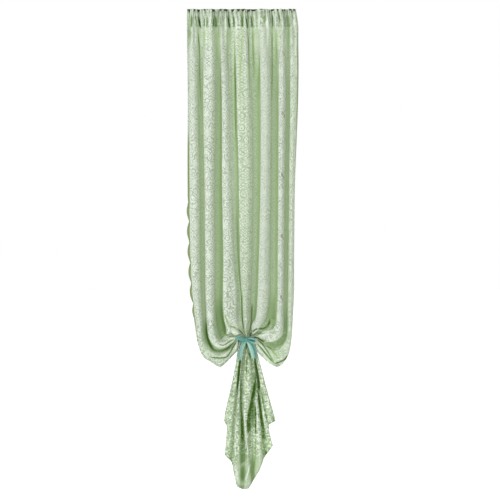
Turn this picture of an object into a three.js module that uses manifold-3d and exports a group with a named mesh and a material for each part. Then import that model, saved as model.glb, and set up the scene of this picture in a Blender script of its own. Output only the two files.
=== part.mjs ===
// A lace curtain panel, gathered on a rod pocket, hanging in deep folds and tied low down with a ribbon.
// Millimetres, +Z up, +X to the viewer's right, -Y towards the viewer, origin in the middle of the top edge.
import * as THREE from "three";
import Module from "manifold-3d";

// Cloth and ribbon
const CLOTH_THICKNESS = 1;
const RIBBON_THICKNESS = 1.2;
const RIBBON_WIDTH = 17;

// Heading: a short frill over a rod pocket, both gathered into the same puckers
const HEADING_LEFT = -234;
const FRILL_RIGHT = 221;
const SEAM_RIGHT = 231;
const FRILL_HEIGHT = 15;
const SEAM_Z = -73;
const PUCKER_COUNT = 17.5;
const PUCKER_DEPTH = 10.5;
const POCKET_HALF_DEPTH = 23;
const SHOULDER_HALF_DEPTH = 20;
const SHOULDER_HEIGHT = 18;
const LAYER_THICKNESS = 1.4;
const DOUBLED_THICKNESS = 2.4;
const CHANNEL_TIP = 0.4;
const STITCHING = 2;
const CUT_PAST = 1;
const STEPS_PER_PUCKER = 6;

// Hanging cloth below the heading seam
const SEAM_GAP = 0.3;
const PUCKERS_END_Z = -215;
const FOLDS_START_Z = -120;
const FOLDS_FULL_Z = -330;
const RIDGE_SHARE = 0.15;
const TIP_ROUNDNESS = 0.85;
const LOOSE_GAP = 28;
const FLAT_TIP = 0.08;
const SHARPEST_FACING = 0.6;
const EXTRA_FADE = 150;
const LEG_STEPS = [0, 0.16, 0.36, 0.64, 0.84];

// Neck, where the ribbon draws the cloth together
const NECK_X = 15;
const NECK_Z = -1380;
const NECK_HALF_WIDTH = 27;
const NECK_HALF_DEPTH = 22;
const BAND_HALF_WIDTH = 29;
const BAND_HALF_DEPTH = 24;
const BAND_HEIGHT = 13;
const BAND_STEPS = 20;
const EDGE_ROOM = 1.5;
const STRAIGHT_WITHIN = 8;
const ARCH_FLATNESS = 0.8;
const RIM_LEAN = 0.3;

// Bow of ribbon on the viewer's side of the neck
const KNOT_AT = [13, -29, -1375];
const KNOT_SIZE = [17, 9, 16];
const KNOT_FACETS = 16;
const WIDENED_AT = 0.4;

// Each fold line runs the whole length of the cloth: r is a ridge towards the viewer, v a valley behind it.
// depth is how far back it lies, hang its x at the heights of HANG_Z.
const HANG_Z = [-171, -380, -714, -1048, -1248];
const HANGING = [
  { line: "left_edge", depth: 14, hang: [-233, -231, -232, -226, -211] },
  { line: "r1", depth: -26, hang: [-205, -212, -209, -205, -193] },
  { line: "v1", depth: 27, hang: [-184, -180, -171, -169, -163] },
  { line: "r2", depth: -30, hang: [-136, -146, -148, -144, -143] },
  { line: "v2", depth: 26, hang: [-106, -104, -108, -107, -106] },
  { line: "r3", depth: -27, hang: [-84, -79, -75, -68, -69] },
  { line: "v3", depth: 23, hang: [-56, -50, -38, -25, -10] },
  { line: "r4", depth: -25, hang: [8, 10, 12, 7, 7] },
  { line: "v4", depth: 30, hang: [34, 44, 49, 46, 38] },
  { line: "r5", depth: -28, hang: [92, 90, 86, 77, 69] },
  { line: "v5", depth: 27, hang: [121, 127, 127, 125, 121] },
  { line: "r6", depth: -29, hang: [163, 159, 157, 154, 152] },
  { line: "v6", depth: 24, hang: [184, 187, 182, 180, 177] },
  { line: "r7", depth: -25, hang: [209, 207, 205, 202, 198] },
  { line: "right_edge", depth: 6, hang: [232, 230, 217, 213, 210] },
];

// Over the tie the cloth bags out. Each line turns at side, is lowest at low and rises to the neck at rise,
// all as x and z.
const BAGGING = [
  { line: "left_edge", side: [-169, -1449], low: [-94, -1496], rise: [-20, -1420] },
  { line: "r1", side: [-157, -1420], low: [-97, -1461], rise: [-27, -1409] },
  { line: "v1", side: [-148, -1386], low: [-100, -1430], rise: [-37, -1397] },
  { line: "r2", side: [-126, -1378], low: [-92, -1399], rise: [-43, -1383] },
  { line: "v2", side: [-101, -1349], low: [-82, -1381], rise: [-48, -1358] },
  { line: "r3", side: [-65, -1290], low: [-52, -1327], rise: [-47, -1346] },
  { line: "v3", side: [-11, -1270], low: [-9, -1291], rise: [-6, -1312] },
  { line: "r4", side: [11, -1278], low: [13, -1302], rise: [14, -1325] },
  { line: "v4", side: [35, -1278], low: [31, -1302], rise: [27, -1326] },
  { line: "r5", side: [64, -1289], low: [56, -1317], rise: [51, -1340] },
  { line: "v5", side: [107, -1295], low: [84, -1326], rise: [66, -1351] },
  { line: "r6", side: [146, -1338], low: [114, -1366], rise: [78, -1362] },
  { line: "v6", side: [170, -1369], low: [138, -1404], rise: [77, -1386] },
  { line: "r7", side: [187, -1408], low: [140, -1457], rise: [64, -1407] },
  { line: "right_edge", side: [186, -1450], low: [143, -1494], rise: [54, -1419] },
];

// Below the tie the tail opens like a fan. fall is a line's depth there, fan its x at the heights of FAN_Z,
// half its x halfway on to the hem, and hem its end as x and z.
const FAN_Z = [-1482, -1549, -1632];
const TAIL = [
  { line: "left_edge", fall: 8, fan: [-31, -44, -63], half: -73, hem: [-80, -1717] },
  { line: "r1", fall: -16, fan: [-27, -39, -57], half: -66, hem: [-71, -1745] },
  { line: "v1", fall: 6, fan: [-23, -33, -50], half: -62, hem: [-72, -1795] },
  { line: "r2", fall: -25, fan: [-19, -28, -44], half: -58, hem: [-77, -1859] },
  { line: "v2", fall: 22, fan: [-14, -21, -29], half: -40, hem: [-47, -1893] },
  { line: "r3", fall: -24, fan: [-8, -14, -20], half: -27, hem: [-27, -1991] },
  { line: "v3", fall: 25, fan: [-1, -7, -9], half: 0, hem: [-4, -2006] },
  { line: "r4", fall: -26, fan: [15, 14, 13], half: 17, hem: [23, -2001] },
  { line: "v4", fall: 28, fan: [42, 48, 42], half: 28, hem: [35, -1975] },
  { line: "r5", fall: -23, fan: [49, 59, 58], half: 63, hem: [56, -1948] },
  { line: "v5", fall: 22, fan: [54, 66, 70], half: 83, hem: [79, -1912] },
  { line: "r6", fall: -24, fan: [59, 73, 84], half: 95, hem: [122, -1823] },
  { line: "v6", fall: 4, fan: [63, 78, 94], half: 106, hem: [112, -1768] },
  { line: "r7", fall: -18, fan: [68, 83, 103], half: 113, hem: [120, -1731] },
  { line: "right_edge", fall: -4, fan: [72, 89, 112], half: 125, hem: [138, -1717] },
];

// Small extra folds on the wide stretches between two lines, by their depth towards the viewer. They fade out
// at both heights.
const EXTRA_FOLDS = [
  { after: "v3", depth: 15, top: -60, bottom: -900 },
  { after: "r3", depth: -11, top: -1000, bottom: -1345 },
];

// Down the cloth: rows of faces up to each level, and the share of the full fold depth there.
// Inside the neck the band sets the depth.
const LEVELS = [
  { level: "seam", rows: 0, swell: 1 },
  { level: "top", rows: 3, swell: 1 },
  { level: "upper", rows: 3, swell: 1 },
  { level: "middle", rows: 1, swell: 1 },
  { level: "lower", rows: 1, swell: 1.05 },
  { level: "bag_start", rows: 1, swell: 1.1 },
  { level: "side", rows: 2, swell: 1.15 },
  { level: "low", rows: 3, swell: 1 },
  { level: "rise", rows: 3, swell: 0.62 },
  { level: "beside", rows: 1 },
  { level: "over", rows: 3 },
  { level: "inside", rows: 3 },
  { level: "out", rows: 1 },
  { level: "fan_top", rows: 2, swell: 0.9 },
  { level: "fan_middle", rows: 1, swell: 0.9 },
  { level: "fan_bottom", rows: 2, swell: 1 },
  { level: "tail", rows: 2, swell: 1 },
  { level: "hem", rows: 2, swell: 0.9 },
];

const wasm = await Module();
wasm.setup();

function smoothStep(from, to, value) {
  const share = Math.min(1, Math.max(0, (value - from) / (to - from)));
  return share * share * (3 - 2 * share);
}

// Depth of the gathered puckers at a share of the cloth's width.
function puckerDepth(share) {
  return -PUCKER_DEPTH * Math.cos(2 * Math.PI * PUCKER_COUNT * share);
}

// x of the gathered cloth at a share of its width, straight between the fold lines.
function gatheredX(share, right) {
  const place = share * (HANGING.length - 1);
  const before = Math.min(Math.floor(place), HANGING.length - 2);
  const left = HANGING[before].hang[0];
  const next = HANGING[before + 1].hang[0];
  const across = left + (next - left) * (place - before) - HANGING[0].hang[0];
  const wide = HANGING[HANGING.length - 1].hang[0] - HANGING[0].hang[0];
  return HEADING_LEFT + (across / wide) * (right - HEADING_LEFT);
}

// Where a line lies at the neck: beside the band, over its rim, down inside it and out below.
function neckPoints(order, rise) {
  const insideX = NECK_HALF_WIDTH * ((2 * order) / (HANGING.length - 1) - 1);
  const sideways = insideX < 0 ? -1 : 1;
  const inEllipse = Math.sqrt(1 - (insideX / (NECK_HALF_WIDTH + EDGE_ROOM)) ** 2);
  const depth = Math.sign(HANGING[order].depth) * NECK_HALF_DEPTH * inEllipse;
  const rimX = BAND_HALF_WIDTH + RIBBON_THICKNESS;
  const rimZ = NECK_Z + BAND_HEIGHT / 2 + EDGE_ROOM;
  const radius = rimX - Math.abs(insideX);
  const arrival = Math.atan2(rise.z - rimZ, sideways * (rise.x - NECK_X) - rimX);
  const start = THREE.MathUtils.clamp(arrival, 0, Math.PI);
  const onRim = (angle) =>
    new THREE.Vector3(
      NECK_X + sideways * (rimX + radius * Math.cos(angle)),
      depth,
      rimZ + ARCH_FLATNESS * radius * Math.sin(angle),
    );
  const inside = onRim(Math.PI);
  const turning = Math.min(1, Math.abs(insideX) / STRAIGHT_WITHIN);
  const beside = rise.clone().lerp(inside, 1 / 3).lerp(onRim(start), turning);
  const crown = onRim(Math.PI / 2 + RIM_LEAN * start);
  const over = rise.clone().lerp(inside, 2 / 3).lerp(crown, turning);
  const out = new THREE.Vector3(NECK_X + insideX, depth, NECK_Z - BAND_HEIGHT);
  return [beside.setY(depth), over.setY(depth), inside, out];
}

// One fold line as a smooth curve through its place at every level.
function foldLine(order) {
  const { depth, hang } = HANGING[order];
  const { side, low, rise } = BAGGING[order];
  const { fall, fan, half, hem } = TAIL[order];
  const swell = (level) => LEVELS.find((row) => row.level === level).swell;
  const at = (level, x, z) => new THREE.Vector3(x, depth * swell(level), z);
  const inTail = (level, x, z) => new THREE.Vector3(x, fall * swell(level), z);
  const risen = at("rise", ...rise);
  const halfZ = (FAN_Z[FAN_Z.length - 1] + hem[1]) / 2;
  const points = [
    at("seam", hang[0], SEAM_Z - SEAM_GAP),
    ...HANG_Z.map((z, i) => at(LEVELS[i + 1].level, hang[i], z)),
    at("side", ...side),
    at("low", ...low),
    risen,
    ...neckPoints(order, risen),
    ...FAN_Z.map((z, i) => inTail(["fan_top", "fan_middle", "fan_bottom"][i], fan[i], z)),
    inTail("tail", half, halfZ),
    inTail("hem", ...hem),
  ];
  return new THREE.CatmullRomCurve3(points, false, "centripetal");
}

// Forward push of the small extra folds at a share t of the stretch after a line.
function extraFold(line, t, z) {
  return EXTRA_FOLDS.filter((fold) => fold.after === line)
    .map(({ depth, top, bottom }) => {
      const above = smoothStep(bottom, bottom + EXTRA_FADE, z);
      const below = 1 - smoothStep(top - EXTRA_FADE, top, z);
      return depth * above * below * Math.sin(2 * Math.PI * t);
    })
    .reduce((sum, push) => sum + push, 0);
}

// The middle surface of the hanging cloth, as rows of points from the seam down to the hem.
function clothRows() {
  const lines = HANGING.map((_, order) => foldLine(order));
  const places = LEVELS.flatMap(({ rows }, i) =>
    Array.from({ length: rows }, (_, k) => i - 1 + (k + 1) / rows),
  );
  const legs = lines.length - 1;
  return [0, ...places].map((place) => {
    const knots = lines.map((line) => line.getPoint(place / (LEVELS.length - 1)));
    const row = knots.slice(0, legs).flatMap((from, leg) =>
      LEG_STEPS.map((t, k) => {
        const to = knots[leg + 1];
        const towardsValley = from.y < to.y ? 1 : -1;
        const loose = Math.min(1, Math.hypot(to.x - from.x, to.z - from.z) / LOOSE_GAP);
        const across =
          t +
          (TIP_ROUNDNESS * Math.sin(2 * Math.PI * t)) / (2 * Math.PI) +
          towardsValley * loose * RIDGE_SHARE * Math.sin(Math.PI * t) ** 2;
        const point = from.clone().lerp(to, across);
        const behind = smoothStep(loose * FLAT_TIP, 1 - loose * FLAT_TIP, t);
        point.y = THREE.MathUtils.lerp(from.y, to.y, behind);
        point.y -= extraFold(HANGING[leg].line, t, point.z);
        return gathered(point, (leg + k / LEG_STEPS.length) / legs);
      }),
    );
    return [...row, gathered(knots[legs].clone(), 1)];
  });
}

// Near the seam the cloth lies in the heading's puckers, which run out into the folds further down.
function gathered(point, share) {
  const puckered = smoothStep(PUCKERS_END_Z, SEAM_Z, point.z);
  const folded = 1 - smoothStep(FOLDS_FULL_Z, SEAM_Z, point.z);
  const rounded = 1 - smoothStep(FOLDS_FULL_Z, FOLDS_START_Z, point.z);
  point.x = THREE.MathUtils.lerp(gatheredX(share, SEAM_RIGHT), point.x, rounded);
  point.y = puckerDepth(share) * puckered + point.y * folded;
  return point;
}

// Rows of points moved off their surface, further where it folds sharply so that it keeps its thickness.
function offsetRows(rows, distance) {
  const faceNormals = rows.slice(1).map((below, i) =>
    below.slice(1).map((corner, j) => {
      const falling = new THREE.Vector3().subVectors(corner, rows[i][j]);
      const rising = new THREE.Vector3().subVectors(rows[i][j + 1], below[j]);
      return rising.cross(falling).normalize();
    }),
  );
  return rows.map((row, i) =>
    row.map((point, j) => {
      const cornersAt = (a) => [j - 1, j].map((b) => faceNormals[a]?.[b]);
      const around = [i - 1, i].flatMap(cornersAt).filter(Boolean);
      const normal = new THREE.Vector3();
      around.forEach((face) => normal.add(face));
      normal.normalize();
      const leastFacing = Math.min(...around.map((face) => face.dot(normal)));
      return point.clone().addScaledVector(normal, distance / Math.max(leastFacing, SHARPEST_FACING));
    }),
  );
}

// A closed solid between two like grids of points, the first of them facing the viewer.
function solidBetween(front, back) {
  const rows = front.length;
  const columns = front[0].length;
  const positions = [...front.flat(), ...back.flat()].flatMap((point) => point.toArray());
  const frontIndex = (i, j) => i * columns + j;
  const backIndex = (i, j) => rows * columns + i * columns + j;
  const faces = [];
  const quad = (a, b, c, d) => faces.push(a, b, c, a, c, d);
  for (let i = 0; i < rows - 1; i++) {
    for (let j = 0; j < columns - 1; j++) {
      quad(frontIndex(i, j), frontIndex(i + 1, j), frontIndex(i + 1, j + 1), frontIndex(i, j + 1));
      quad(backIndex(i, j), backIndex(i, j + 1), backIndex(i + 1, j + 1), backIndex(i + 1, j));
    }
    const right = columns - 1;
    quad(frontIndex(i, 0), backIndex(i, 0), backIndex(i + 1, 0), frontIndex(i + 1, 0));
    quad(frontIndex(i, right), frontIndex(i + 1, right), backIndex(i + 1, right), backIndex(i, right));
  }
  for (let j = 0; j < columns - 1; j++) {
    const last = rows - 1;
    quad(frontIndex(0, j), frontIndex(0, j + 1), backIndex(0, j + 1), backIndex(0, j));
    quad(frontIndex(last, j), backIndex(last, j), backIndex(last, j + 1), frontIndex(last, j + 1));
  }
  return new THREE.BufferGeometry()
    .setAttribute("position", new THREE.Float32BufferAttribute(positions, 3))
    .setIndex(faces);
}

function sheetSolid(rows, thickness) {
  return solidBetween(offsetRows(rows, -thickness / 2), offsetRows(rows, thickness / 2));
}

function toManifold(geometry) {
  return new wasm.Manifold(
    new wasm.Mesh({
      numProp: 3,
      vertProperties: new Float32Array(geometry.getAttribute("position").array),
      triVerts: new Uint32Array(geometry.index.array),
    }),
  );
}

function fromManifold(solid) {
  const mesh = solid.getMesh();
  return new THREE.BufferGeometry()
    .setAttribute("position", new THREE.Float32BufferAttribute(mesh.vertProperties, 3))
    .setIndex(new THREE.Uint32BufferAttribute(mesh.triVerts, 1));
}

// One face of the heading. side is -1 towards the viewer and 1 behind, half its distance from the middle.
function headingFace(profile, side, overhang) {
  const stations = Math.round(PUCKER_COUNT * STEPS_PER_PUCKER);
  return profile.map(({ z, half }) => {
    const right = THREE.MathUtils.lerp(FRILL_RIGHT, SEAM_RIGHT, z / SEAM_Z);
    return Array.from({ length: stations + 1 }, (_, station) => {
      const share = station / stations;
      const past = station === 0 ? -overhang : station === stations ? overhang : 0;
      const depth = puckerDepth(share) + side * half;
      return new THREE.Vector3(gatheredX(share, right) + past, depth, z);
    });
  });
}

// The gathered heading: a frill over a pocket that a rod passes through from end to end.
function headingGeometry() {
  const middle = (SEAM_Z - FRILL_HEIGHT) / 2;
  const pocket = [
    { z: middle + SHOULDER_HEIGHT, half: SHOULDER_HALF_DEPTH },
    { z: middle, half: POCKET_HALF_DEPTH },
    { z: middle - SHOULDER_HEIGHT, half: SHOULDER_HALF_DEPTH },
  ];
  const seamHalf = DOUBLED_THICKNESS / 2;
  const outer = [
    { z: 0, half: seamHalf },
    { z: -FRILL_HEIGHT, half: seamHalf },
    ...pocket,
    { z: SEAM_Z, half: seamHalf },
  ];
  const channel = [
    { z: -FRILL_HEIGHT - STITCHING, half: CHANNEL_TIP / 2 },
    ...pocket.map(({ z, half }) => ({ z, half: half - LAYER_THICKNESS })),
    { z: SEAM_Z + STITCHING, half: CHANNEL_TIP / 2 },
  ];
  const [whole, hollow] = [
    { profile: outer, overhang: 0 },
    { profile: channel, overhang: CUT_PAST },
  ].map(({ profile, overhang }) =>
    toManifold(solidBetween(headingFace(profile, -1, overhang), headingFace(profile, 1, overhang))),
  );
  return fromManifold(whole.subtract(hollow));
}

// The band of ribbon round the neck, mostly hidden in the cloth.
function bandSolid() {
  const ellipse = (grow) => {
    const points = Array.from({ length: BAND_STEPS * 2 }, (_, i) => {
      const angle = (i * Math.PI) / BAND_STEPS;
      return [(BAND_HALF_WIDTH + grow) * Math.cos(angle), (BAND_HALF_DEPTH + grow) * Math.sin(angle)];
    });
    return wasm.CrossSection.ofPolygons([points]);
  };
  return ellipse(RIBBON_THICKNESS)
    .subtract(ellipse(0))
    .extrude(BAND_HEIGHT)
    .translate(NECK_X, 0, NECK_Z - BAND_HEIGHT / 2);
}

// A piece of ribbon along a smooth path. across is its width direction, cup how far its middle stands forward
// at the end.
function ribbonPiece({ path, across, startWidth, endWidth, cup, steps }) {
  const curve = new THREE.CatmullRomCurve3(path.map((point) => new THREE.Vector3(...point)));
  const sideways = new THREE.Vector3(...across).normalize();
  const rows = Array.from({ length: steps + 1 }, (_, i) => {
    const middle = curve.getPointAt(i / steps);
    const along = i / steps;
    const width = THREE.MathUtils.lerp(startWidth, endWidth, Math.min(1, along / WIDENED_AT));
    return [-0.5, 0, 0.5].map((share) => {
      const point = middle.clone().addScaledVector(sideways, share * width);
      point.y -= share === 0 ? cup * along : 0;
      return point;
    });
  });
  return toManifold(sheetSolid(rows, RIBBON_THICKNESS));
}

// The pieces of the bow, each along its path (x, y, z) from the knot.
const BOW = [
  {
    piece: "flat left loop",
    path: [
      [12, -28, -1376],
      [-8, -33, -1369],
      [-25, -34, -1362],
      [-30, -31, -1360.5],
      [-24, -28.5, -1363],
      [12, -28, -1376],
    ],
    across: [0.35, 0, 0.93],
    startWidth: 10,
    endWidth: 14.5,
    cup: 0,
    steps: 14,
  },
  {
    piece: "open right loop",
    path: [
      [14, -28, -1374],
      [28, -34, -1370],
      [45, -36, -1374],
      [54, -34, -1383],
      [46, -31, -1391],
      [28, -29, -1386],
      [14, -28, -1378],
    ],
    across: [0, -0.8, 0.6],
    startWidth: 8,
    endWidth: 11,
    cup: 0,
    steps: 16,
  },
  {
    piece: "left end",
    path: [
      [9, -28, -1378],
      [-6, -30, -1401],
      [-11, -29, -1428],
      [-15, -28, -1463],
    ],
    across: [0.95, 0.1, -0.3],
    startWidth: 13,
    endWidth: RIBBON_WIDTH,
    cup: 2,
    steps: 8,
  },
  {
    piece: "right end",
    path: [
      [16, -28, -1378],
      [33, -31, -1401],
      [43, -30, -1426],
      [49, -29, -1457],
    ],
    across: [0.93, 0.1, 0.35],
    startWidth: 13,
    endWidth: RIBBON_WIDTH + 4,
    cup: 3,
    steps: 8,
  },
];

function tieGeometry() {
  const knot = wasm.Manifold.sphere(0.5, KNOT_FACETS).scale(KNOT_SIZE).translate(KNOT_AT);
  return fromManifold(wasm.Manifold.union([bandSolid(), knot, ...BOW.map(ribbonPiece)]));
}

const CLOTH = new THREE.MeshStandardMaterial({ color: 0xc8d6bd, roughness: 0.9, metalness: 0 });
const RIBBON = new THREE.MeshStandardMaterial({ color: 0x6fb3a6, roughness: 0.5, metalness: 0 });

function namedMesh(name, geometry, material) {
  const mesh = new THREE.Mesh(geometry, material);
  mesh.name = name;
  return mesh;
}

const curtain = new THREE.Group();
curtain.name = "lace_curtain";
curtain.add(
  namedMesh("heading", headingGeometry(), CLOTH.clone()),
  namedMesh("panel", sheetSolid(clothRows(), CLOTH_THICKNESS), CLOTH.clone()),
  namedMesh("tie", tieGeometry(), RIBBON),
);

export default curtain;
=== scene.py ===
import math

import bpy
import numpy as np
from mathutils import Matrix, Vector


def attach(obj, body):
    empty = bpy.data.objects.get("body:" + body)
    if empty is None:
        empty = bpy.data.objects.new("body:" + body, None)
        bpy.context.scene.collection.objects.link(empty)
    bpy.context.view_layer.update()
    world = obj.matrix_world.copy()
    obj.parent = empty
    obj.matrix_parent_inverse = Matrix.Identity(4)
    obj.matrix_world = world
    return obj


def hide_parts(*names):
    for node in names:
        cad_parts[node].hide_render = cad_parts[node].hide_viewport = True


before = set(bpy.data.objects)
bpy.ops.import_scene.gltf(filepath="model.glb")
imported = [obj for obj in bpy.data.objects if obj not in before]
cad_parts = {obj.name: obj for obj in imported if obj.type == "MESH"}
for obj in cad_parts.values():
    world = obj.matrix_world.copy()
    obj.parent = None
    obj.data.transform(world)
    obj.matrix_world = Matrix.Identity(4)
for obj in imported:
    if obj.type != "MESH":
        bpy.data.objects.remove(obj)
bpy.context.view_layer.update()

MM = 0.001


def table(columns, *rows, **shared):
    """Rows as dictionaries. columns names their values in order, and some rows leave out the last. shared is
    alike in all rows."""
    return [{**shared, **dict(zip(columns.split(), row))} for row in rows]


# Heading and gathers
HEADING_LEFT = -234
FRILL_RIGHT = 221
SEAM_RIGHT = 231
FRILL_HEIGHT = 15
SEAM_Z = -73
PUCKER_COUNT = 17.5
PUCKER_DEPTH = 6.5
TOP_FOLD_SHARE = 0.38
POCKET_HALF_DEPTH = 22
POCKET_ROUNDNESS = 0.6
FRILL_HALF_DEPTH = 1.4
SEAM_GAP = 0.3
HEADING_COLUMNS = 420
CRIMP_COUNT = 43
CRIMP_WAVES = 7
CRIMP_WANDER = 1.2
CRIMP_DEPTH = 2.0
CRIMP_END_Z = -58
BACK_CREASE_SHARE = 0.3
# Painted shade on the back layer seen in the frill's hollows
HOLLOW_SHADE = 0.55
HOLLOW_SLIMMING = 0.82
HOLLOW_SWAY = 0.35
# Painted shade on the frill's front where it dips at the hollows
LIP_SHADE = 0.05
SWAY_START = 3
FRONT_TINT_START = 2.4
HOLLOW_TINT_START = 1.6
# Painted shade in the puckers' valleys
PUCKER_SHADE = 0.35
DOUBLED_GREEN = 0.05
STITCH_GREEN = 0.2
STITCH_HALF_HEIGHT = 2.5
# Painted shade in the crimps' hollows and painted light on their crests, then painted light on the frill's
# front
CRIMP_SHADE = 1.3
FRILL_PAINTED_LIGHT = -0.95
HEADING_PATTERN = 1.3
HEADING_ROWS = 26

# Hanging cloth
CLOTH_WIDTH = 1000
PUCKERS_END_Z = -215
FINE_GATHERS_END_Z = -470
FINE_GATHER_SHARE = 0.4
FOLDS_START_Z = -120
FOLDS_FULL_Z = -250
RIDGE_SHARE = 0.15
TIP_ROUNDNESS = 0.85
SLOPE_EASE = -0.5
EDGE_OVERHANG = 0.3
PLEATED_TO = 6
PLEATS_END = 7.5
POINTED_FROM = 6
POINTED_TO = 8
POINTED_EASE = 0.4
LOOSE_GAP = 28
FLAT_TIP = 0.08
EDGE_SHARE = 0.045
TAIL_FADE = 60
TAIL_PATTERN = 2.3
POUCH_START_Z = -1290
POUCH_FADE = 80
POUCH_PATTERN = 1.6
HEM_INSIDE_Z = (-1840, -1900)
HEM_INSIDE_X = (-30, -20)
HEM_INSIDE_PLAINNESS = 0.7
HEM_BROWN_LOW_Z = (-1870, -1820)
HEM_BROWN_HIGH_Z = (-1715, -1735)
TAIL_GREEN = 0.42
TAIL_DEPTH_SHARE = 0.6
# The valleys' painted shade: its share at the top, and the heights over which it grows to full
TOP_FOLD_SHADE = 0.2
SHADE_START_Z = -130
SHADE_FULL_Z = -350
# Painted highlight along each ridge's left edge
RIDGE_HIGHLIGHT = 0.3
EXTRA_FADE = 150
COLUMNS_PER_LEG = 22

# Creases and patches
CREASE_REACH = 2.6
CREASE_OVERRUN = 0.05
# How strong the creases' painted shade is
CREASE_SHADE_SCALE = 1.4
CREASE_FADE = 0.2
CREASE_SLIMMING = 0.68
PATCH_SOFTNESS = 3
PATCH_FADE = 0.5

# Neck, where the ribbon draws the cloth together
NECK_X = 15
NECK_Z = -1380
NECK_HALF_WIDTH = 27
NECK_HALF_DEPTH = 22
BAND_HALF_WIDTH = 29
BAND_HALF_DEPTH = 24
BAND_HEIGHT = 13
BAND_SLACK = 6
WRAP_HEIGHT = 20
BAND_BACK_SLACK = 0.6
BAND_GATHERS = 22
BAND_GATHER_DEPTH = 0.5
BAND_FLAT_RADIUS = 27
BAND_COLUMNS = 121
BAND_ROWS = 9
RIBBON_THICKNESS = 1.2
EDGE_ROOM = 1.5
OUT_SPREAD = 1.25
STRAIGHT_WITHIN = 8
ARCH_FLATNESS = 0.8
RIM_LEAN = 0.3

# Scalloped side edge of the lace
SCALLOP_PITCH = 86
SCALLOP_DEPTH = 10
SCALLOP_START = 26
SCALLOP_TOP = -760
SCALLOP_BOTTOM = -1310
SCALLOP_FADE_IN = 80
SCALLOP_FADE_OUT = 60
# Painted shade on the scalloped edge where it shows behind the first ridge: its top, its fade and its share
# of the width
EDGE_SHADE_TOP = -480
EDGE_SHADE_FADE = 100
EDGE_SHADE_SHARE = 0.015
HEM_WIDTH = 14
HEM_OFFSET = 0.9

# Camera: the photograph's 500 pixels span 2087.5 mm at the curtain
VIEW_WIDTH = 2087.5
VIEW_CENTRE_X = 29
VIEW_CENTRE_Z = -1006
CAMERA_DISTANCE = 12000
SENSOR = 36
FAR_CLIP = 200000

# Floor, room and lamps, the lamps' places and sizes in metres
FLOOR_Z = -2030
FLOOR_HALF = 60000
FLOOR_GLOW = 0.4
ROOM_LIGHT = 0.6
WALL_CHANGES = (-0.2, 0.6)
LAMPS = table(
    "name place target size power",
    ("key", (-3.0, -4.2, 0.4), (0, 0, -1.0), 1.8, 140),
    ("fill", (2.6, -4.0, -0.6), (0, 0, -1.1), 2.0, 20),
)

# Lace repeat, in metres on the flat cloth
LACE_WIDTH = 0.125
LACE_HEIGHT = 0.255
VINE_SWING = 0.022
VINE_HALF_WIDTH = 0.0012
CURL_PITCH = 0.027
CURL_RING = 0.0108
WARP_SCALE = 0.9
WARP_REACH = 0.7
HATCH_PITCH = 0.0128
HATCH_SLOPE = 0.8
HATCH_BEND = 4.5
FLECKS_PER_METRE = 168
DARK_FLECK_SHARE = 0.25
PALE_FLECK_FROM = 0.78
NET_PITCH = 0.0021

# Brown hearts down one vine and dots along the border, in metres: places, and radius with its softness
HEART_U = 0.796
HEART_SHIFT = 0.069
HEART_EDGE = (0.0085, 0.0015)
SECOND_HEART_FROM_FIRST = (0.013, 0.010)
SECOND_HEART_EDGE = (0.006, 0.0012)
DOT_U = 0.955
DOT_EDGE = (0.0042, 0.001)

# The motif's parts in one repeat, in metres: rosettes with their height in quarters of the repeat, and the
# leaf and the tendril that stand on both sides of the vine
ROSETTES = table(
    "x quarters radius petals",
    (-0.030, 1, 0.021, 8),
    (0.030, -1, 0.021, 8),
    (0.040, 1.1, 0.012, 5),
    (-0.040, -1.1, 0.012, 5),
)
LEAF = {"x": 0.020, "y": 0.014, "length": 0.016, "breadth": 0.007, "turn": 0.9}
TENDRIL = {"x": 0.040, "y": 0.012, "inner": 0.003, "outer": 0.013}
PETAL_REACH = 0.8
PETAL_WAVE = 0.2
INNER_OUTLINE = 0.72
FLOWER_HEART = 0.22
HEART_SOFTNESS = 0.0006

# Soft patches of the lace: how many in a metre, and how soft
BENT_PATCHES = (47, 0.3)
HATCHED_PATCHES = (23, 0.07)
PLAIN_PATCHES = (31, 0.12)

# How threads and motif fill the ground: where a line ends and how softly, and strengths
CURL_LINE = (0.1, 0.5)
HATCH_LINE = (0.45, 0.4)
PLAINNESS = 0.45
MOTIF_STRENGTH = 0.75
HATCHED_LIFT = 0.15
THREAD_SOFTNESS = 0.0007
OUTLINE = (0.0006, 0.0005)
OUTLINE_BARENESS = 0.8
GROOVE = (0.0008, 0.0005)
GROOVE_BARENESS = 0.7
MIDRIB = (0.0006, 0.0004)
MIDRIB_BARENESS = 0.8
TENDRIL_LINE = (0.0013, 0.0007)
LEAF_SOFTNESS = 0.12

# How the numbers on the cloth's vertices work: the full scale of the pattern and of the painted shade
# (painted light where negative), the pattern strength from which the threads break up into flecks, and the
# painted shade from which the cloth darkens into deep painted shade
PATTERN_SCALE = 2.0
SHADE_AND_GREEN_SCALE = 4.0
FLECKED_FROM = 1.3
FLECK_SOFTNESS = 0.05
DARK_FLECK_TINT = 0.85
PALE_FLECK_TINT = 0.95
DEEP_FROM = 0.9
DEEPENING = 0.75
FLECK_RELIEF = 0.3
FOLD_SOFTENING = 0.6
FLECK_SHARPNESS = 0.45
HEART_TINT = 0.65
HEART_CURL_TINT = 0.3

# How opaque the lace is where it is thinnest, and how much more in threads and folds, how much light glows
# through it, and how high its net stands
SINGLE_COVER = 0.88
DOUBLED_COVER = 0.94
THREAD_COVER = 0.1
FOLD_COVER = 0.06
DEEP_COVER = 0.08
GLOW_SHARE = 0.35
GLOW_DEEPENING = 0.4
NET_HEIGHT = 0.3

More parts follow.
